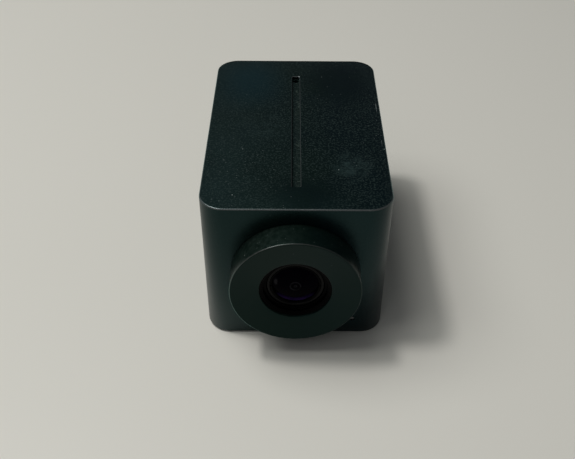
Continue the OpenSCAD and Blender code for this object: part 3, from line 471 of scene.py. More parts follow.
class Editing:
    """Edit mode on one object, with parts picked by where they are or how they face."""

    def __init__(self, thing):
        self.thing = thing

    def __enter__(self):
        only(self.thing)
        bpy.ops.object.mode_set(mode="EDIT")
        return self

    def __exit__(self, *error):
        bpy.ops.object.mode_set(mode="OBJECT")

    def everything(self):
        bpy.ops.mesh.select_mode(type="VERT")
        bpy.ops.mesh.select_all(action="SELECT")

    def points(self, test):
        """Selects the vertices for which test(place) is true."""
        bpy.ops.mesh.select_mode(type="VERT")
        bpy.ops.mesh.select_all(action="DESELECT")
        mesh = bmesh.from_edit_mesh(self.thing.data)
        for point in mesh.verts:
            point.select_set(bool(test(point.co)))
        bmesh.update_edit_mesh(self.thing.data)

    def open_edges(self):
        """Selects the edges at the border of an open surface."""
        bpy.ops.mesh.select_mode(type="EDGE")
        bpy.ops.mesh.select_all(action="DESELECT")
        mesh = bmesh.from_edit_mesh(self.thing.data)
        for edge in mesh.edges:
            edge.select_set(edge.is_boundary)
        bmesh.update_edit_mesh(self.thing.data)

    def faces(self, test):
        """Selects the faces for which test(centre, normal) is true."""
        bpy.ops.mesh.select_mode(type="FACE")
        bpy.ops.mesh.select_all(action="DESELECT")
        mesh = bmesh.from_edit_mesh(self.thing.data)
        for face in mesh.faces:
            face.select_set(bool(test(face.calc_center_median(), face.normal)))
        bmesh.update_edit_mesh(self.thing.data)

    def edges(self, test):
        """Selects the edges for which test(middle, direction) is true."""
        bpy.ops.mesh.select_mode(type="EDGE")
        bpy.ops.mesh.select_all(action="DESELECT")
        mesh = bmesh.from_edit_mesh(self.thing.data)
        for edge in mesh.edges:
            a, b = edge.verts[0].co, edge.verts[1].co
            edge.select_set(bool(test((a + b) / 2, (b - a).normalized())))
        bmesh.update_edit_mesh(self.thing.data)

    def sharp_edges(self, angle, test=lambda middle: True):
        """Selects the edges where two faces meet at more than the angle, and test(middle) is true."""
        bpy.ops.mesh.select_mode(type="EDGE")
        bpy.ops.mesh.select_all(action="DESELECT")
        mesh = bmesh.from_edit_mesh(self.thing.data)
        for edge in mesh.edges:
            if len(edge.link_faces) == 2 and edge.calc_face_angle(0.0) > angle:
                middle = (edge.verts[0].co + edge.verts[1].co) / 2
                edge.select_set(bool(test(middle)))
        bmesh.update_edit_mesh(self.thing.data)


def soften(thing, width, segments=3, angle=35.0):
    """Rounds every edge that is sharper than the angle."""
    only(thing)
    bevel = thing.modifiers.new("soft_edges", "BEVEL")
    bevel.width = width
    bevel.segments = segments
    bevel.limit_method = "ANGLE"
    bevel.angle_limit = math.radians(angle)
    bevel.harden_normals = False
    bpy.ops.object.modifier_apply(modifier="soft_edges")


def smooth(thing, angle=35.0):
    only(thing)
    bpy.ops.object.shade_smooth_by_angle(angle=math.radians(angle))


def combine(thing, tool, operation):
    """Cuts the tool out of the thing, or joins it on, and clears the tool away."""
    only(thing)
    change = thing.modifiers.new("combine", "BOOLEAN")
    change.operation = operation
    change.object = tool
    change.solver = "EXACT"
    bpy.ops.object.modifier_apply(modifier="combine")
    bpy.data.objects.remove(tool)


def tidy_mesh(thing):
    """Merges doubles and makes every face point outwards."""
    with Editing(thing) as edit:
        edit.everything()
        bpy.ops.mesh.remove_doubles(threshold=1e-6)
        bpy.ops.mesh.normals_make_consistent(inside=False)


def hand_over(thing, finish, body="camera_body", stands_for=()):
    """Gives a finished piece its finish and its body, and hides the CAD nodes it stands for."""
    paint(thing, finish)
    if stands_for:
        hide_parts(*stands_for)
    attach(thing, body)
    return thing


def joined(name, things):
    """Makes one object of several."""
    bpy.ops.object.select_all(action="DESELECT")
    for thing in things:
        thing.select_set(True)
    bpy.context.view_layer.objects.active = things[0]
    if len(things) > 1:
        bpy.ops.object.join()
    things[0].name = name
    things[0].data.name = name
    return things[0]


def turned(name, profile, axis="lens", segments=128, start=None, closed=True):
    """A piece turned on a lathe from (radius, place along the axis) points in millimetres.

    The lens axis points towards the rear; an upright axis points up. A piece that isn't closed
    starts and ends on the axis itself.
    """
    lens = axis == "lens"
    middle = Vector(start or (0, 0, LENS_Z)) * MM
    along = Vector((0, 1, 0)) if lens else Vector((0, 0, 1))
    points = [(max(r * MM, 1e-7), d * MM) for r, d in profile]
    if closed:
        points.append(points[0])
    else:
        pole = points.pop(0)
    r, d = points[0]
    piece = fresh(name, "circle", vertices=segments, radius=r, fill_type="NOTHING" if closed else "TRIFAN",
                  location=middle + along * d, rotation=(QUARTER, 0, 0) if lens else (0, 0, 0))
    with Editing(piece) as edit:
        if closed:
            edit.everything()
        else:
            edit.points(lambda place: (place - middle - along * d).length < r / 2)
            bpy.ops.transform.translate(value=along * (pole[1] - d))
            edit.open_edges()
        for next_r, next_d in points[1:]:
            factor = next_r / r
            bpy.ops.mesh.extrude_region()
            bpy.ops.transform.resize(value=(factor, 1, factor) if lens else (factor, factor, 1),
                                     center_override=middle + along * d)
            bpy.ops.transform.translate(value=along * (next_d - d))
            r, d = next_r, next_d
    tidy_mesh(piece)
    return piece


def arc(centre, radius, begin, end, steps):
    """Points of a circular arc in a profile, from one angle to another in degrees."""
    return [(centre[0] + radius * math.cos(math.radians(a)), centre[1] + radius * math.sin(math.radians(a)))
            for a in (begin + (end - begin) * i / steps for i in range(steps + 1))]


def rounded_bar(name, low, high, radius, axis="Z", segments=8):
    """A block from low to high, in millimetres, with its edges along one axis rounded."""
    low, high = Vector(low) * MM, Vector(high) * MM
    bar = fresh(name, "cube", size=1.0, location=(low + high) / 2)
    with Editing(bar) as edit:
        edit.everything()
        bpy.ops.transform.resize(value=high - low, center_override=(low + high) / 2)
        index = "XYZ".index(axis)
        edit.edges(lambda middle, direction: abs(direction[index]) > 0.9)
        bpy.ops.mesh.bevel(offset=radius * MM, segments=segments, affect="EDGES")
    return bar


def rod(name, radius, low, high, segments=48):
    """A plain round bar between two points on one line, used as a cutter or a post."""
    low, high = Vector(low) * MM, Vector(high) * MM
    along = high - low
    piece = fresh(name, "cylinder", vertices=segments, radius=radius * MM, depth=along.length,
                  location=(low + high) / 2, rotation=along.to_track_quat("Z", "Y").to_euler())
    return piece


def corners(node):
    """The lowest and highest corner of a CAD node, in millimetres."""
    low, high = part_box(node)
    return low / MM, high / MM


# ---------------------------------------------------------------- sizes, in millimetres

HOUSING_LOW, HOUSING_HIGH = corners("main_housing")
FRONT_Y, REAR_Y = HOUSING_LOW.y, HOUSING_HIGH.y
RIM_Z, TOP_Z = HOUSING_LOW.z, HOUSING_HIGH.z
NOSE_Y = (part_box("lens_barrel")[0] / MM).y
LENS_Z = sum((corner / MM).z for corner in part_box("lens_barrel")) / 2
HALF_W = HOUSING_HIGH.x
CORNER_R = 6.0
WALL = 2.0
ROOF = 2.2
EDGE = 0.4
GROOVE_W, GROOVE_L, GROOVE_DEEP, GROOVE_FRONT = 2.2, 53.5, 1.0, 8.7
BARREL_R, MOUTH_R, DISH_DEEP, LIP_T = 16.0, 8.8, 1.0, 0.6
SPIGOT_R, SPIGOT_L, SPIGOT_BORE = 13.8, 13.0, 10.0
LED_X, LED_Z = 14.8, RIM_Z + 4.95
BOSS_X, BOSS_FRONT_Y, BOSS_REAR_Y = 17.6, FRONT_Y + 5.4, REAR_Y - 5.4
MIC_Y = FRONT_Y + GROOVE_FRONT + GROOVE_L - GROOVE_W / 2
MIC_POST_X = 8.0
LENS_Y = NOSE_Y + 3.1
BASE_T = 3.0
MIDDLE_Y = (FRONT_Y + REAR_Y) / 2
BOARD_Z = (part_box("main_board")[0] / MM).z
POST_X = 13.0
BOARD_FRONT_Y = (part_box("heatsink")[0] / MM).y - 1.5
POST_FRONT_Y, POST_REAR_Y = BOARD_FRONT_Y + 3.5, REAR_Y - WALL - 1.4 - 18.6

# ---------------------------------------------------------------- housing


def slot_cutter(name, half_w, low_y, high_y, low_z, high_z, radius, flare):
    """A slot with round ends whose mouth flares a little at the top."""
    cutter = rounded_bar(name, (-half_w, low_y, low_z), (half_w, high_y, high_z), radius, "Z", 6)
    with Editing(cutter) as edit:
        edit.faces(lambda centre, normal: normal.z > 0.9)
        bpy.ops.mesh.extrude_region()
        bpy.ops.transform.translate(value=(0, 0, flare * MM))
        middle = Vector((0, (low_y + high_y) / 2, high_z + flare)) * MM
        bpy.ops.transform.resize(value=((half_w + flare) / half_w,
                                        (high_y - low_y + 2 * flare) / (high_y - low_y), 1),
                                 center_override=middle)
        bpy.ops.mesh.extrude_region()
        bpy.ops.transform.translate(value=(0, 0, 1 * MM))
    return cutter


def make_housing():
    """The deep tub: one shell of walls and roof, with bosses inside, open at the bottom."""
    shell = rounded_bar("housing_shell", (-HALF_W, FRONT_Y, RIM_Z), (HALF_W, REAR_Y, TOP_Z), CORNER_R, "Z",
                        24)
    with Editing(shell) as edit:
        edit.faces(lambda centre, normal: normal.z < -0.9)
        bpy.ops.mesh.inset(thickness=WALL * MM)
        bpy.ops.mesh.extrude_region()
        bpy.ops.transform.translate(value=(0, 0, (TOP_Z - ROOF - RIM_Z) * MM))
        top = TOP_Z * MM
        edit.sharp_edges(math.radians(60), lambda middle: middle.z > top - 1e-5)
        bpy.ops.mesh.bevel(offset=EDGE * MM, segments=5, affect="EDGES")
        rim = RIM_Z * MM
        edit.sharp_edges(math.radians(60), lambda middle: middle.z < rim + 1e-5)
        bpy.ops.mesh.bevel(offset=0.2 * MM, segments=2, affect="EDGES")
    ceiling = TOP_Z - ROOF
    floor_top = RIM_Z + 3.0
    for x in (-BOSS_X, BOSS_X):
        for y, wall_y in ((BOSS_FRONT_Y, FRONT_Y + 1), (BOSS_REAR_Y, REAR_Y - 1)):
            wall_x = math.copysign(HALF_W - 1, x)
            post = rod("post", 2.3, (x, y, floor_top), (x, y, ceiling + 1))
            combine(shell, post, "UNION")
            rib = rounded_bar("rib", (min(x, wall_x), y - 0.8, floor_top),
                              (max(x, wall_x), y + 0.8, ceiling + 1), 0.1, "Z", 1)
            combine(shell, rib, "UNION")
            rib = rounded_bar("rib", (x - 0.8, min(y, wall_y), floor_top),
                              (x + 0.8, max(y, wall_y), ceiling + 1), 0.1, "Z", 1)
            combine(shell, rib, "UNION")
            combine(shell, rod("pilot", 1.0, (x, y, floor_top - 1), (x, y, floor_top + 8), 24), "DIFFERENCE")
    for x in (-MIC_POST_X, MIC_POST_X):
        combine(shell, rod("post", 2.0, (x, MIC_Y, ceiling - 2), (x, MIC_Y, ceiling + 1), 32), "UNION")
        combine(shell, rod("pilot", 0.65, (x, MIC_Y, ceiling - 3), (x, MIC_Y, ceiling + 0.5), 24),
                "DIFFERENCE")
    groove = slot_cutter("groove", GROOVE_W / 2, FRONT_Y + GROOVE_FRONT, FRONT_Y + GROOVE_FRONT + GROOVE_L,
                         TOP_Z - GROOVE_DEEP, TOP_Z - 0.12, GROOVE_W / 5, 0.12)
    combine(shell, groove, "DIFFERENCE")
    combine(shell, rod("mic_hole", 0.8, (0, MIC_Y, ceiling - 1), (0, MIC_Y, TOP_Z), 32), "DIFFERENCE")
    combine(shell, rod("lens_hole", SPIGOT_R + 0.15, (0, FRONT_Y - 1, LENS_Z),
                       (0, FRONT_Y + WALL + 1, LENS_Z), 128),
            "DIFFERENCE")
    combine(shell, rod("light_hole", 0.65, (LED_X, FRONT_Y - 1, LED_Z), (LED_X, FRONT_Y + WALL + 1, LED_Z),
                       32),
            "DIFFERENCE")
    for port in port_cutters():
        combine(shell, port, "DIFFERENCE")
    tidy_mesh(shell)
    smooth(shell, 30)
    return hand_over(shell, "housing", stands_for=("main_housing",))


def port_cutters():
    """The openings in the rear wall for the inlet, the button and the card."""
    low, high = corners("usb_shell")
    gap = 0.2
    yield rounded_bar("inlet_hole", (low.x - gap, REAR_Y - WALL - 1, low.z - gap),
                      (high.x + gap, REAR_Y + 1, high.z + gap), (high.z - low.z) / 2 + gap - 0.01, "Y", 10)
    low, high = corners("power_button")
    middle = (low + high) / 2
    yield rod("button_hole", 1.95, (middle.x, REAR_Y - WALL - 1, middle.z), (middle.x, REAR_Y + 1, middle.z),
              64)
    low, high = corners("memory_card")
    middle = (low + high) / 2
    yield rounded_bar("card_hole", (low.x - gap, REAR_Y - WALL - 1, low.z - gap),
                      (high.x + gap, REAR_Y + 1, high.z + gap), 0.2, "Y", 4)
    yield rod("finger_scoop", 2.75, (middle.x, REAR_Y - 1, middle.z), (middle.x, REAR_Y + 1, middle.z), 64)


# ---------------------------------------------------------------- lens barrel and lens


def make_barrel():
    """The round barrel: a shallow dished face, a fine rounded edge (its brightness is a painted highlight)
    and a thin lip round the mouth.
    """
    n = NOSE_Y
    edge = 0.3
    profile = [(MOUTH_R, n + DISH_DEEP + LIP_T), (MOUTH_R, n + DISH_DEEP + 0.12),
               (MOUTH_R + 0.04, n + DISH_DEEP + 0.04),
               (MOUTH_R + 0.12, n + DISH_DEEP - 0.01)]
    span = BARREL_R - edge - MOUTH_R
    profile += [(MOUTH_R + span * t, n + DISH_DEEP * (1 - t)) for t in (0.035, 0.25, 0.5, 0.75, 0.97)]
    profile += arc((BARREL_R - edge, n + edge), edge, -90, 0, 6)
    profile += [(BARREL_R, n + 2.0), (BARREL_R, n + 4.5), (BARREL_R, FRONT_Y - 0.12),
                (BARREL_R - 0.12, FRONT_Y),
                (SPIGOT_R, FRONT_Y), (SPIGOT_R, FRONT_Y + SPIGOT_L), (SPIGOT_BORE, FRONT_Y + SPIGOT_L),
                (SPIGOT_BORE, n + DISH_DEEP + LIP_T)]
    barrel = turned("lens_barrel_body", profile, segments=192)
    for x in (-8.41, 8.41):
        for z in (-8.41, 8.41):
            end = FRONT_Y + SPIGOT_L
            combine(barrel, rod("pilot", 0.65, (x, end - 5, LENS_Z + z), (x, end + 1, LENS_Z + z), 24),
                    "DIFFERENCE")
    tidy_mesh(barrel)
    smooth(barrel, 32)
    return hand_over(barrel, "barrel", stands_for=("lens_barrel",))


def make_baffle():
    """The black insert behind the mouth, with fine anti-glare steps down to the lens."""
    n = NOSE_Y + DISH_DEEP + LIP_T
    profile = [(9.9, n), (8.5, n)]
    r, y = 8.5, n
    for _ in range(3):
        profile += [(r - 0.17, y + 0.06), (r - 0.20, y + 0.20)]
        r, y = r - 0.20, y + 0.20
    profile += [(7.9, LENS_Y - 0.26), (7.86, LENS_Y - 0.20), (7.15, LENS_Y - 0.20), (7.15, n + 4.9),
                (9.9, n + 4.9)]
    baffle = turned("lens_baffle", profile, segments=160)
    smooth(baffle, 30)
    return hand_over(baffle, "lens_black", stands_for=("front_baffle",))


def make_lens_tube():
    """The lens's own tube: a rounded front rim, a smooth head and a threaded stem."""
    y = LENS_Y
    profile = [(6.25, y + 0.12), (6.37, y)] + arc((6.85, y + 0.15), 0.15, -90, 0, 4)
    profile += [(7.0, y + 5.8), (6.8, y + 6.0), (6.0, y + 6.0)]
    turn = y + 6.6
    while turn < y + 13.4:
        profile += [(6.0, turn), (5.75, turn + 0.25), (6.0, turn + 0.5)]
        turn += 1.0
    profile += [(6.0, y + 14.3), (5.8, y + 14.5), (3.4, y + 14.5), (3.4, y + 11.0), (4.45, y + 11.0),
                (4.45, y + 3.0),
                (6.25, y + 3.0)]
    tube = turned("lens_tube_body", profile, segments=128)
    smooth(tube, 32)
    hand_over(tube, "lens_black", stands_for=("lens_tube",))
    tube.data.materials[0] = LENS_RIM
    return tube


def make_retainer():
    """The thin ring that holds the front glass, with two notches for a pin wrench."""
    y = LENS_Y
    ring = turned("lens_retainer", [(6.2, y + 0.04), (6.2, y + 0.55), (5.66, y + 0.4), (5.74, y + 0.16),
                                    (5.95, y + 0.02)])
    for side in (-1, 1):
        notch = rounded_bar("notch", (side * 6.1 - 0.35, y - 0.5, LENS_Z - 0.35),
                            (side * 6.1 + 0.35, y + 0.25, LENS_Z + 0.35),
                            0.1, "Y", 3)
        combine(ring, notch, "DIFFERENCE")
    smooth(ring, 30)
    return hand_over(ring, "lens_black", stands_for=("front_retainer",))


def sphere_cap(radius, rim_r, rim_y, steps, back=False):
    """Profile points of a spherical face from its middle to its rim; back turns it hollow."""
    sag = radius - math.sqrt(radius ** 2 - rim_r ** 2)
    points = []
    for i in range(steps + 1):
        r = rim_r * i / steps
        rise = radius - math.sqrt(radius ** 2 - r ** 2)
        points.append((r, rim_y - sag + rise) if not back else (r, rim_y - (sag - rise)))
    return points


def make_front_glass():
    """The domed front glass, steeper towards its rim."""
    y = LENS_Y + 0.60
    dome = [(r, d) for r, d in sphere_cap(20.0, 6.2, y, 16) if r < 4.9]
    profile = dome + [(5.2, y - 0.26), (5.6, y - 0.15), (5.95, y), (6.2, y + 0.2), (6.2, LENS_Y + 3.0),
                      (4.9, LENS_Y + 3.0)]
    profile += sphere_cap(12.2, 4.8, LENS_Y + 3.0, 8, back=True)[::-1]
    glass = turned("lens_front_glass", profile, segments=96, closed=False)
    smooth(glass, 40)
    hand_over(glass, "lens_glass", stands_for=("front_element",))
    glass.data.materials[0] = LENS_FRONT
    return glass


def make_light_pipe():
    """The clear pin that carries the status light through the front wall."""
    y = FRONT_Y
    profile = [(0.0, y + 0.06), (0.25, y + 0.08), (0.45, y + 0.13), (0.58, y + 0.25), (0.6, y + 0.4),
               (0.6, y + 2.05), (1.0, y + 2.05), (1.0, y + 3.3), (0.9, y + 3.35), (0.0, y + 3.35)]
    pin = turned("light_pipe_pin", profile, start=(LED_X, 0, LED_Z), segments=48, closed=False)
    smooth(pin, 40)
    return hand_over(pin, "light_pipe", stands_for=("light_pipe",))


# ---------------------------------------------------------------- base, foot and tripod thread


def make_base_plate():
    """The tray that closes the housing from below: a recess for the pad, posts and screw holes."""
    low, high = corners("base_plate")
    top = RIM_Z + BASE_T
    tray = rounded_bar("base_tray", (low.x, low.y, RIM_Z), (high.x, high.y, top), CORNER_R - WALL, "Z", 16)
    soften(tray, 0.15 * MM, 2, 60)
    combine(tray, rod("insert_boss", 6.5, (0, MIDDLE_Y, RIM_Z + 1), (0, MIDDLE_Y, RIM_Z + 5.5), 96), "UNION")
    foot_low, foot_high = corners("rubber_foot")
    recess = rounded_bar("recess", (foot_low.x - 0.15, foot_low.y - 0.15, RIM_Z - 1),
                         (foot_high.x + 0.15, foot_high.y + 0.15, RIM_Z + 0.5), 3.35, "Z", 16)
    combine(recess, rod("island", 6.85, (0, MIDDLE_Y, RIM_Z - 2), (0, MIDDLE_Y, RIM_Z + 2), 96), "DIFFERENCE")
    combine(tray, recess, "DIFFERENCE")
    combine(tray, rod("insert_seat", 4.55, (0, MIDDLE_Y, RIM_Z - 1), (0, MIDDLE_Y, RIM_Z + 7), 96),
            "DIFFERENCE")
    for x in (-BOSS_X, BOSS_X):
        for y in (BOSS_FRONT_Y, BOSS_REAR_Y):
            combine(tray, rod("screw_hole", 1.1, (x, y, RIM_Z - 1), (x, y, top + 1), 32), "DIFFERENCE")
            combine(tray, rod("head_hole", 2.05, (x, y, RIM_Z - 1), (x, y, RIM_Z + 1.8), 48), "DIFFERENCE")
    for x in (-POST_X, POST_X):
        for y in (POST_FRONT_Y, POST_REAR_Y):
            combine(tray, rod("post", 2.2, (x, y, RIM_Z + 1), (x, y, BOARD_Z), 48), "UNION")
            combine(tray, rod("pilot", 0.8, (x, y, BOARD_Z - 2.2), (x, y, BOARD_Z + 1), 24), "DIFFERENCE")
    tidy_mesh(tray)
    smooth(tray, 30)
    return hand_over(tray, "base", stands_for=("base_plate",))


def make_foot():
    """The rubber pad: soft edges, a moulded groove round its border and a round window."""
    low, high = corners("rubber_foot")
    pad = rounded_bar("rubber_pad", low, high, 3.2, "Z", 16)
    combine(pad, rod("window", 7.0, (0, MIDDLE_Y, -1), (0, MIDDLE_Y, 2), 96), "DIFFERENCE")
    soften(pad, 0.22 * MM, 3, 60)
    track = rounded_bar("track", (low.x + 1.6, low.y + 1.6, -1), (high.x - 1.6, high.y - 1.6, 0.22), 1.7, "Z",
                        12)
    combine(track, rounded_bar("island", (low.x + 2.3, low.y + 2.3, -2), (high.x - 2.3, high.y - 2.3, 1), 1.1,
                               "Z", 12),
            "DIFFERENCE")
    combine(pad, track, "DIFFERENCE")
    ring = rod("ring", 8.7, (0, MIDDLE_Y, -1), (0, MIDDLE_Y, 0.22), 96)
    combine(ring, rod("island", 8.0, (0, MIDDLE_Y, -2), (0, MIDDLE_Y, 1), 96), "DIFFERENCE")
    combine(pad, ring, "DIFFERENCE")
    tidy_mesh(pad)
    smooth(pad, 30)
    return hand_over(pad, "foot", stands_for=("rubber_foot",))


def make_tripod_insert():
    """The brass insert, with the turns of its thread inside and a countersunk mouth."""
    low, high = corners("tripod_insert")
    z = low.z
    end = z + 5.6
    profile = [(3.15, z), (4.4, z), (4.5, z + 0.1)]
    turn = z + 0.8
    while turn < z + 4.6:
        profile += [(4.5, turn), (4.32, turn + 0.15), (4.32, turn + 0.35), (4.5, turn + 0.5)]
        turn += 1.2
    profile += [(4.5, z + 5.5), (5.7, z + 5.5), (5.8, z + 5.6), (5.8, high.z - 0.1), (5.7, high.z),
                (0.0, high.z)]
    bore = [(0.0, end), (2.6, end)]
    turn = end - 0.3
    while turn > z + 1.2:
        bore += [(2.6, turn), (3.05, turn - 0.42), (3.05, turn - 0.52), (2.6, turn - 0.94)]
        turn -= 1.27
    bore += [(2.6, z + 0.55)]
    insert = turned("threaded_insert", (bore + profile), start=(0, MIDDLE_Y, 0), axis="up", segments=96,
                    closed=False)
    smooth(insert, 30)
    return hand_over(insert, "insert", stands_for=("tripod_insert",))


# ---------------------------------------------------------------- rear ports


def make_inlet():
    """The power inlet: a seamed steel shell with a rolled lip, and its tongue with gilt pads."""
    low, high = corners("usb_shell")
    radius = (high.z - low.z) / 2 - 0.01
    shell = rounded_bar("inlet_shell", low, high, radius, "Y", 12)
    hole = rounded_bar("hole", (low.x + 0.3, low.y + 0.4, low.z + 0.3),
                       (high.x - 0.3, high.y + 1, high.z - 0.3),
                       radius - 0.3, "Y", 12)
    combine(shell, hole, "DIFFERENCE")
    with Editing(shell) as edit:
        edit.sharp_edges(math.radians(60), lambda middle: middle.y > (high.y - 0.01) * MM)
        bpy.ops.mesh.bevel(offset=0.1 * MM, segments=3, affect="EDGES")
    middle_x = (low.x + high.x) / 2
    for side in (-1, 1):
        x = middle_x + side * 2.2
        for z in (low.z, high.z):
            combine(shell, rounded_bar("spring_slot", (x - 0.45, low.y + 2.0, z - 0.2),
                                       (x + 0.45, low.y + 4.4, z + 0.2),
                                       0.2, "Z", 4), "DIFFERENCE")
    combine(shell, rounded_bar("seam", (middle_x - 0.04, low.y + 0.5, low.z - 0.1),
                               (middle_x + 0.04, high.y - 0.4, low.z + 0.1),
                               0.01, "Y", 1), "DIFFERENCE")
    tidy_mesh(shell)
    smooth(shell, 30)
    hand_over(shell, "shell_steel", stands_for=("usb_shell",))

    low, high = corners("usb_tongue")
    tongue = rounded_bar("inlet_tongue", low, high, 0.3, "Z", 4)
    soften(tongue, 0.08 * MM, 2, 60)
    smooth(tongue, 30)
    hand_over(tongue, "tongue", stands_for=("usb_tongue",))
    pads = []
    pitch = (high.x - low.x - 0.9) / 11
    for z in (low.z, high.z):
        for i in range(12):
            x = low.x + 0.45 + pitch * i
            pad = rounded_bar("pad", (x - 0.13, high.y - 3.3, z - 0.03), (x + 0.13, high.y - 0.5, z + 0.03),
                              0.08, "Z", 3)
            pads.append(pad)
    hand_over(joined("inlet_contacts", pads), "mic_can")


def make_card():
    """The memory card: a notched outline, a grip ridge, and gilt contacts below its inner end."""
    low, high = corners("memory_card")
    card = rounded_bar("card_body", low, high, 0.7, "Z", 6)
    combine(card, rounded_bar("grip", (low.x + 1, high.y - 1.45, high.z - 0.25),
                              (high.x - 1, high.y - 0.95, high.z + 1), 0.2, "Z", 4),
            "DIFFERENCE")
    combine(card, rounded_bar("notch", (high.x - 0.7, low.y + 4.2, low.z - 1),
                              (high.x + 1, low.y + 5.6, high.z + 1), 0.3, "Z", 4),
            "DIFFERENCE")
    step = rounded_bar("thin_end", (low.x - 1, low.y - 1, high.z - 0.28),
                       (high.x + 1, high.y - 2.4, high.z + 1), 0.3, "Z", 4)
    combine(card, step, "DIFFERENCE")
    soften(card, 0.07 * MM, 2, 50)
    tidy_mesh(card)
    smooth(card, 30)
    hand_over(card, "card", body="memory_card", stands_for=("memory_card",))
    pitch = (high.x - low.x - 1.8) / 8
    contacts = [rounded_bar("contact", (low.x + 0.9 + pitch * i + 0.12, low.y + 0.5, low.z - 0.015),
                            (low.x + 0.9 + pitch * (i + 1) - 0.12, low.y + 3.2, low.z + 0.05), 0.15, "Z", 3)
                for i in range(8)]
    hand_over(joined("card_contacts", contacts), "mic_can", body="memory_card")


def make_card_socket():
    """The stamped steel shell that the card slides into, with a slot and windows in its top."""
    low, high = corners("card_socket")
    card_low, card_high = corners("memory_card")
    shell = rounded_bar("socket_shell", low, high, 0.35, "Y", 4)
    combine(shell, rounded_bar("slot", (card_low.x - 0.08, card_low.y - 0.08, card_low.z - 0.08),
                               (card_high.x + 0.08, high.y + 1,
                                card_high.z + 0.08), 0.05, "Y", 1), "DIFFERENCE")
    for x in (-3.6, 0.0, 3.6):
        middle = (low.x + high.x) / 2 + x
        combine(shell, rounded_bar("window", (middle - 0.9, low.y + 3, high.z - 0.15),
                                   (middle + 0.9, low.y + 8, high.z + 1),
                                   0.3, "Z", 4), "DIFFERENCE")
    soften(shell, 0.06 * MM, 2, 50)
    tidy_mesh(shell)
    smooth(shell, 30)
    return hand_over(shell, "shell_steel", stands_for=("card_socket",))


def make_button():
    """The push button: a flanged cap with a shallow dish for the fingertip."""
    low, high = corners("power_button")
    middle = (low + high) / 2
    profile = [(0.0, low.y), (2.3, low.y), (2.4, low.y + 0.1), (2.4, low.y + 0.65), (2.3, low.y + 0.75),
               (1.8, low.y + 0.75), (1.8, high.y - 0.28), (1.72, high.y - 0.08), (1.55, high.y),
               (1.35, high.y - 0.04), (0.9, high.y - 0.14), (0.45, high.y - 0.2), (0.0, high.y - 0.22)]
    cap = turned("button_cap", profile, start=(middle.x, 0, middle.z), segments=64, closed=False)
    smooth(cap, 35)
    return hand_over(cap, "button", body="power_button", stands_for=("power_button",))


# ---------------------------------------------------------------- pieces on the boards


def chip(name, low, high, lid=0.0):
    """A chip package: soft edges, a dot by its first corner and, on a large one, a raised lid."""
    if lid:
        body = rounded_bar(name, low, (high[0], high[1], low[2] + 0.55), 0.25, "Z", 3)
        top = rounded_bar("lid", (low[0] + lid, low[1] + lid, low[2] + 0.4),
                          (high[0] - lid, high[1] - lid, high[2]),
                          0.6, "Z", 5)
        soften(top, 0.12 * MM, 3, 60)
        combine(body, top, "UNION")
    else:
        body = rounded_bar(name, low, high, 0.12, "Z", 3)
        soften(body, 0.08 * MM, 2, 60)
    dot = (low[0] + lid + 0.7, low[1] + lid + 0.7)
    combine(body, rod("dot", 0.25, (*dot, high[2] - 0.08), (*dot, high[2] + 1), 24), "DIFFERENCE")
    tidy_mesh(body)
    smooth(body, 30)
    return body


def make_chips():
    """The processor, the two memory chips beside it and the motion sensor."""
    low, high = corners("processor")
    hand_over(chip("processor_package", low, high, 0.9), "chip", stands_for=("processor",))
    low, high = corners("memory_chips")
    pair = [chip("memory", low, (low.x + 4, high.y, high.z)),
            chip("memory", (high.x - 4, low.y, low.z), high)]
    hand_over(joined("memory_packages", pair), "chip", stands_for=("memory_chips",))
    low, high = corners("motion_sensor")
    hand_over(chip("motion_package", low, high), "chip", stands_for=("motion_sensor",))


def make_capacitors():
    """Two lying capacitors: crimped cans with a seal set back in each end."""
    low, high = corners("buffer_capacitors")
    middle = (low + high) / 2
    radius = (high.z - low.z) / 2
    cans = []
    for begin, end in ((low.x, -0.5), (0.5, high.x)):
        can = rod("can", radius, (begin, middle.y, middle.z), (end, middle.y, middle.z), 64)
        centre = Vector(((begin + end) / 2, middle.y, middle.z)) * MM
        with Editing(can) as edit:
            edit.faces(lambda place, normal: abs(normal.x) > 0.9)
            bpy.ops.mesh.inset(thickness=0.45 * MM)
            bpy.ops.transform.resize(value=(0.95, 1, 1), center_override=centre)
        crimp = fresh("crimp", "torus", major_radius=(radius + 0.06) * MM, minor_radius=0.24 * MM,
                      major_segments=64,
                      minor_segments=12, location=Vector((end - 1.5, middle.y, middle.z)) * MM,
                      rotation=(0, QUARTER, 0))
        combine(can, crimp, "DIFFERENCE")
        tidy_mesh(can)
        smooth(can, 40)
        cans.append(can)
    return hand_over(joined("capacitor_cans", cans), "capacitor", stands_for=("buffer_capacitors",))


def make_inductors():
    """Two shielded inductors under the board, with cut corners and a seam round each core."""
    low, high = corners("power_inductors")
    middle = (low + high) / 2
    size = high.y - low.y
    cores = []
    for begin in (low.x, high.x - size):
        core = rounded_bar("core", (begin, low.y, low.z), (begin + size, high.y, high.z), 0.8, "Z", 1)
        soften(core, 0.12 * MM, 2, 30)
        x = begin + size / 2
        seam = rod("seam", 1.9, (x, middle.y, low.z - 1), (x, middle.y, low.z + 0.15), 48)
        combine(seam, rod("core", 1.65, (x, middle.y, low.z - 2), (x, middle.y, low.z + 1), 48), "DIFFERENCE")
        combine(core, seam, "DIFFERENCE")
        tidy_mesh(core)
        smooth(core, 30)
        cores.append(core)
    return hand_over(joined("inductor_cores", cores), "inductor", stands_for=("power_inductors",))


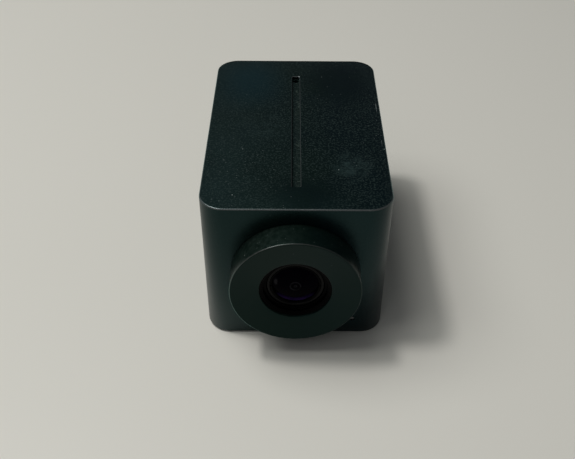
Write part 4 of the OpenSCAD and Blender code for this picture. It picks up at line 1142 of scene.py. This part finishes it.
def make_small_blocks():
    """The thermal pad, the microphone's can and the status light's body, with their soft corners."""
    for node, name, finish, corner, edge in (("thermal_pad", "thermal_sheet", "gap_pad", 0.8, 0.12),
                                             ("microphone", "microphone_can", "mic_can", 0.4, 0.15),
                                             ("status_led", "led_body", "led", 0.15, 0.08)):
        low, high = corners(node)
        block = rounded_bar(name, low, high, corner, "Z", 4)
        soften(block, edge * MM, 3, 60)
        smooth(block, 30)
        hand_over(block, finish, stands_for=(node,))


# ---------------------------------------------------------------- build every piece

make_housing()
make_base_plate()
make_foot()
make_tripod_insert()
make_inlet()
make_card()
make_card_socket()
make_button()
make_barrel()
make_baffle()
make_lens_tube()
make_retainer()
make_front_glass()
make_light_pipe()
make_chips()
make_capacitors()
make_inductors()
make_small_blocks()

# ---------------------------------------------------------------- floor and light


def add_floor():
    """A plain pale table top."""
    bpy.ops.object.select_all(action="DESELECT")
    bpy.ops.mesh.primitive_plane_add(size=6.0, location=(0, 0, 0))
    floor = bpy.context.object
    floor.name = "table_top"
    n = Nodes("table_pale")
    shader = n.shader(0.45)
    n.link(n.mix(n.ramp(n.noise(3.0, 2.0), 0.3, 0.7), (0.80, 0.785, 0.735), (0.82, 0.805, 0.755)),
           shader.inputs["Base Color"])
    floor.data.materials.append(n.material)
    return floor


def add_area(name, place, aim, size, power, colour):
    data = bpy.data.lights.new(name, "AREA")
    data.shape = "DISK"
    data.size = size
    data.energy = power
    data.color = colour
    lamp = bpy.data.objects.new(name, data)
    bpy.context.scene.collection.objects.link(lamp)
    lamp.location = place
    lamp.rotation_euler = (Vector(aim) - Vector(place)).to_track_quat("-Z", "Y").to_euler()
    return lamp


add_floor()
add_area("key_light", (-0.42, 0.08, 1.02), (0, 0, 0.02), 0.15, 2.75, (1.0, 0.97, 0.93))
add_area("halo_light", (-0.50, 0.10, 1.05), (0, 0, 0.02), 0.85, 6.2, (0.99, 1.0, 0.96))
add_area("front_light", (-0.35, -0.80, 0.95), (0, 0, 0.02), 1.0, 1.2, (1.0, 1.0, 1.0))

world = bpy.data.worlds.new("soft_room")
world.use_nodes = True
world.node_tree.nodes["Background"].inputs["Color"].default_value = (0.93, 0.99, 1.0, 1.0)
world.node_tree.nodes["Background"].inputs["Strength"].default_value = 0.062
bpy.context.scene.world = world
bpy.context.scene.view_settings.view_transform = "Standard"
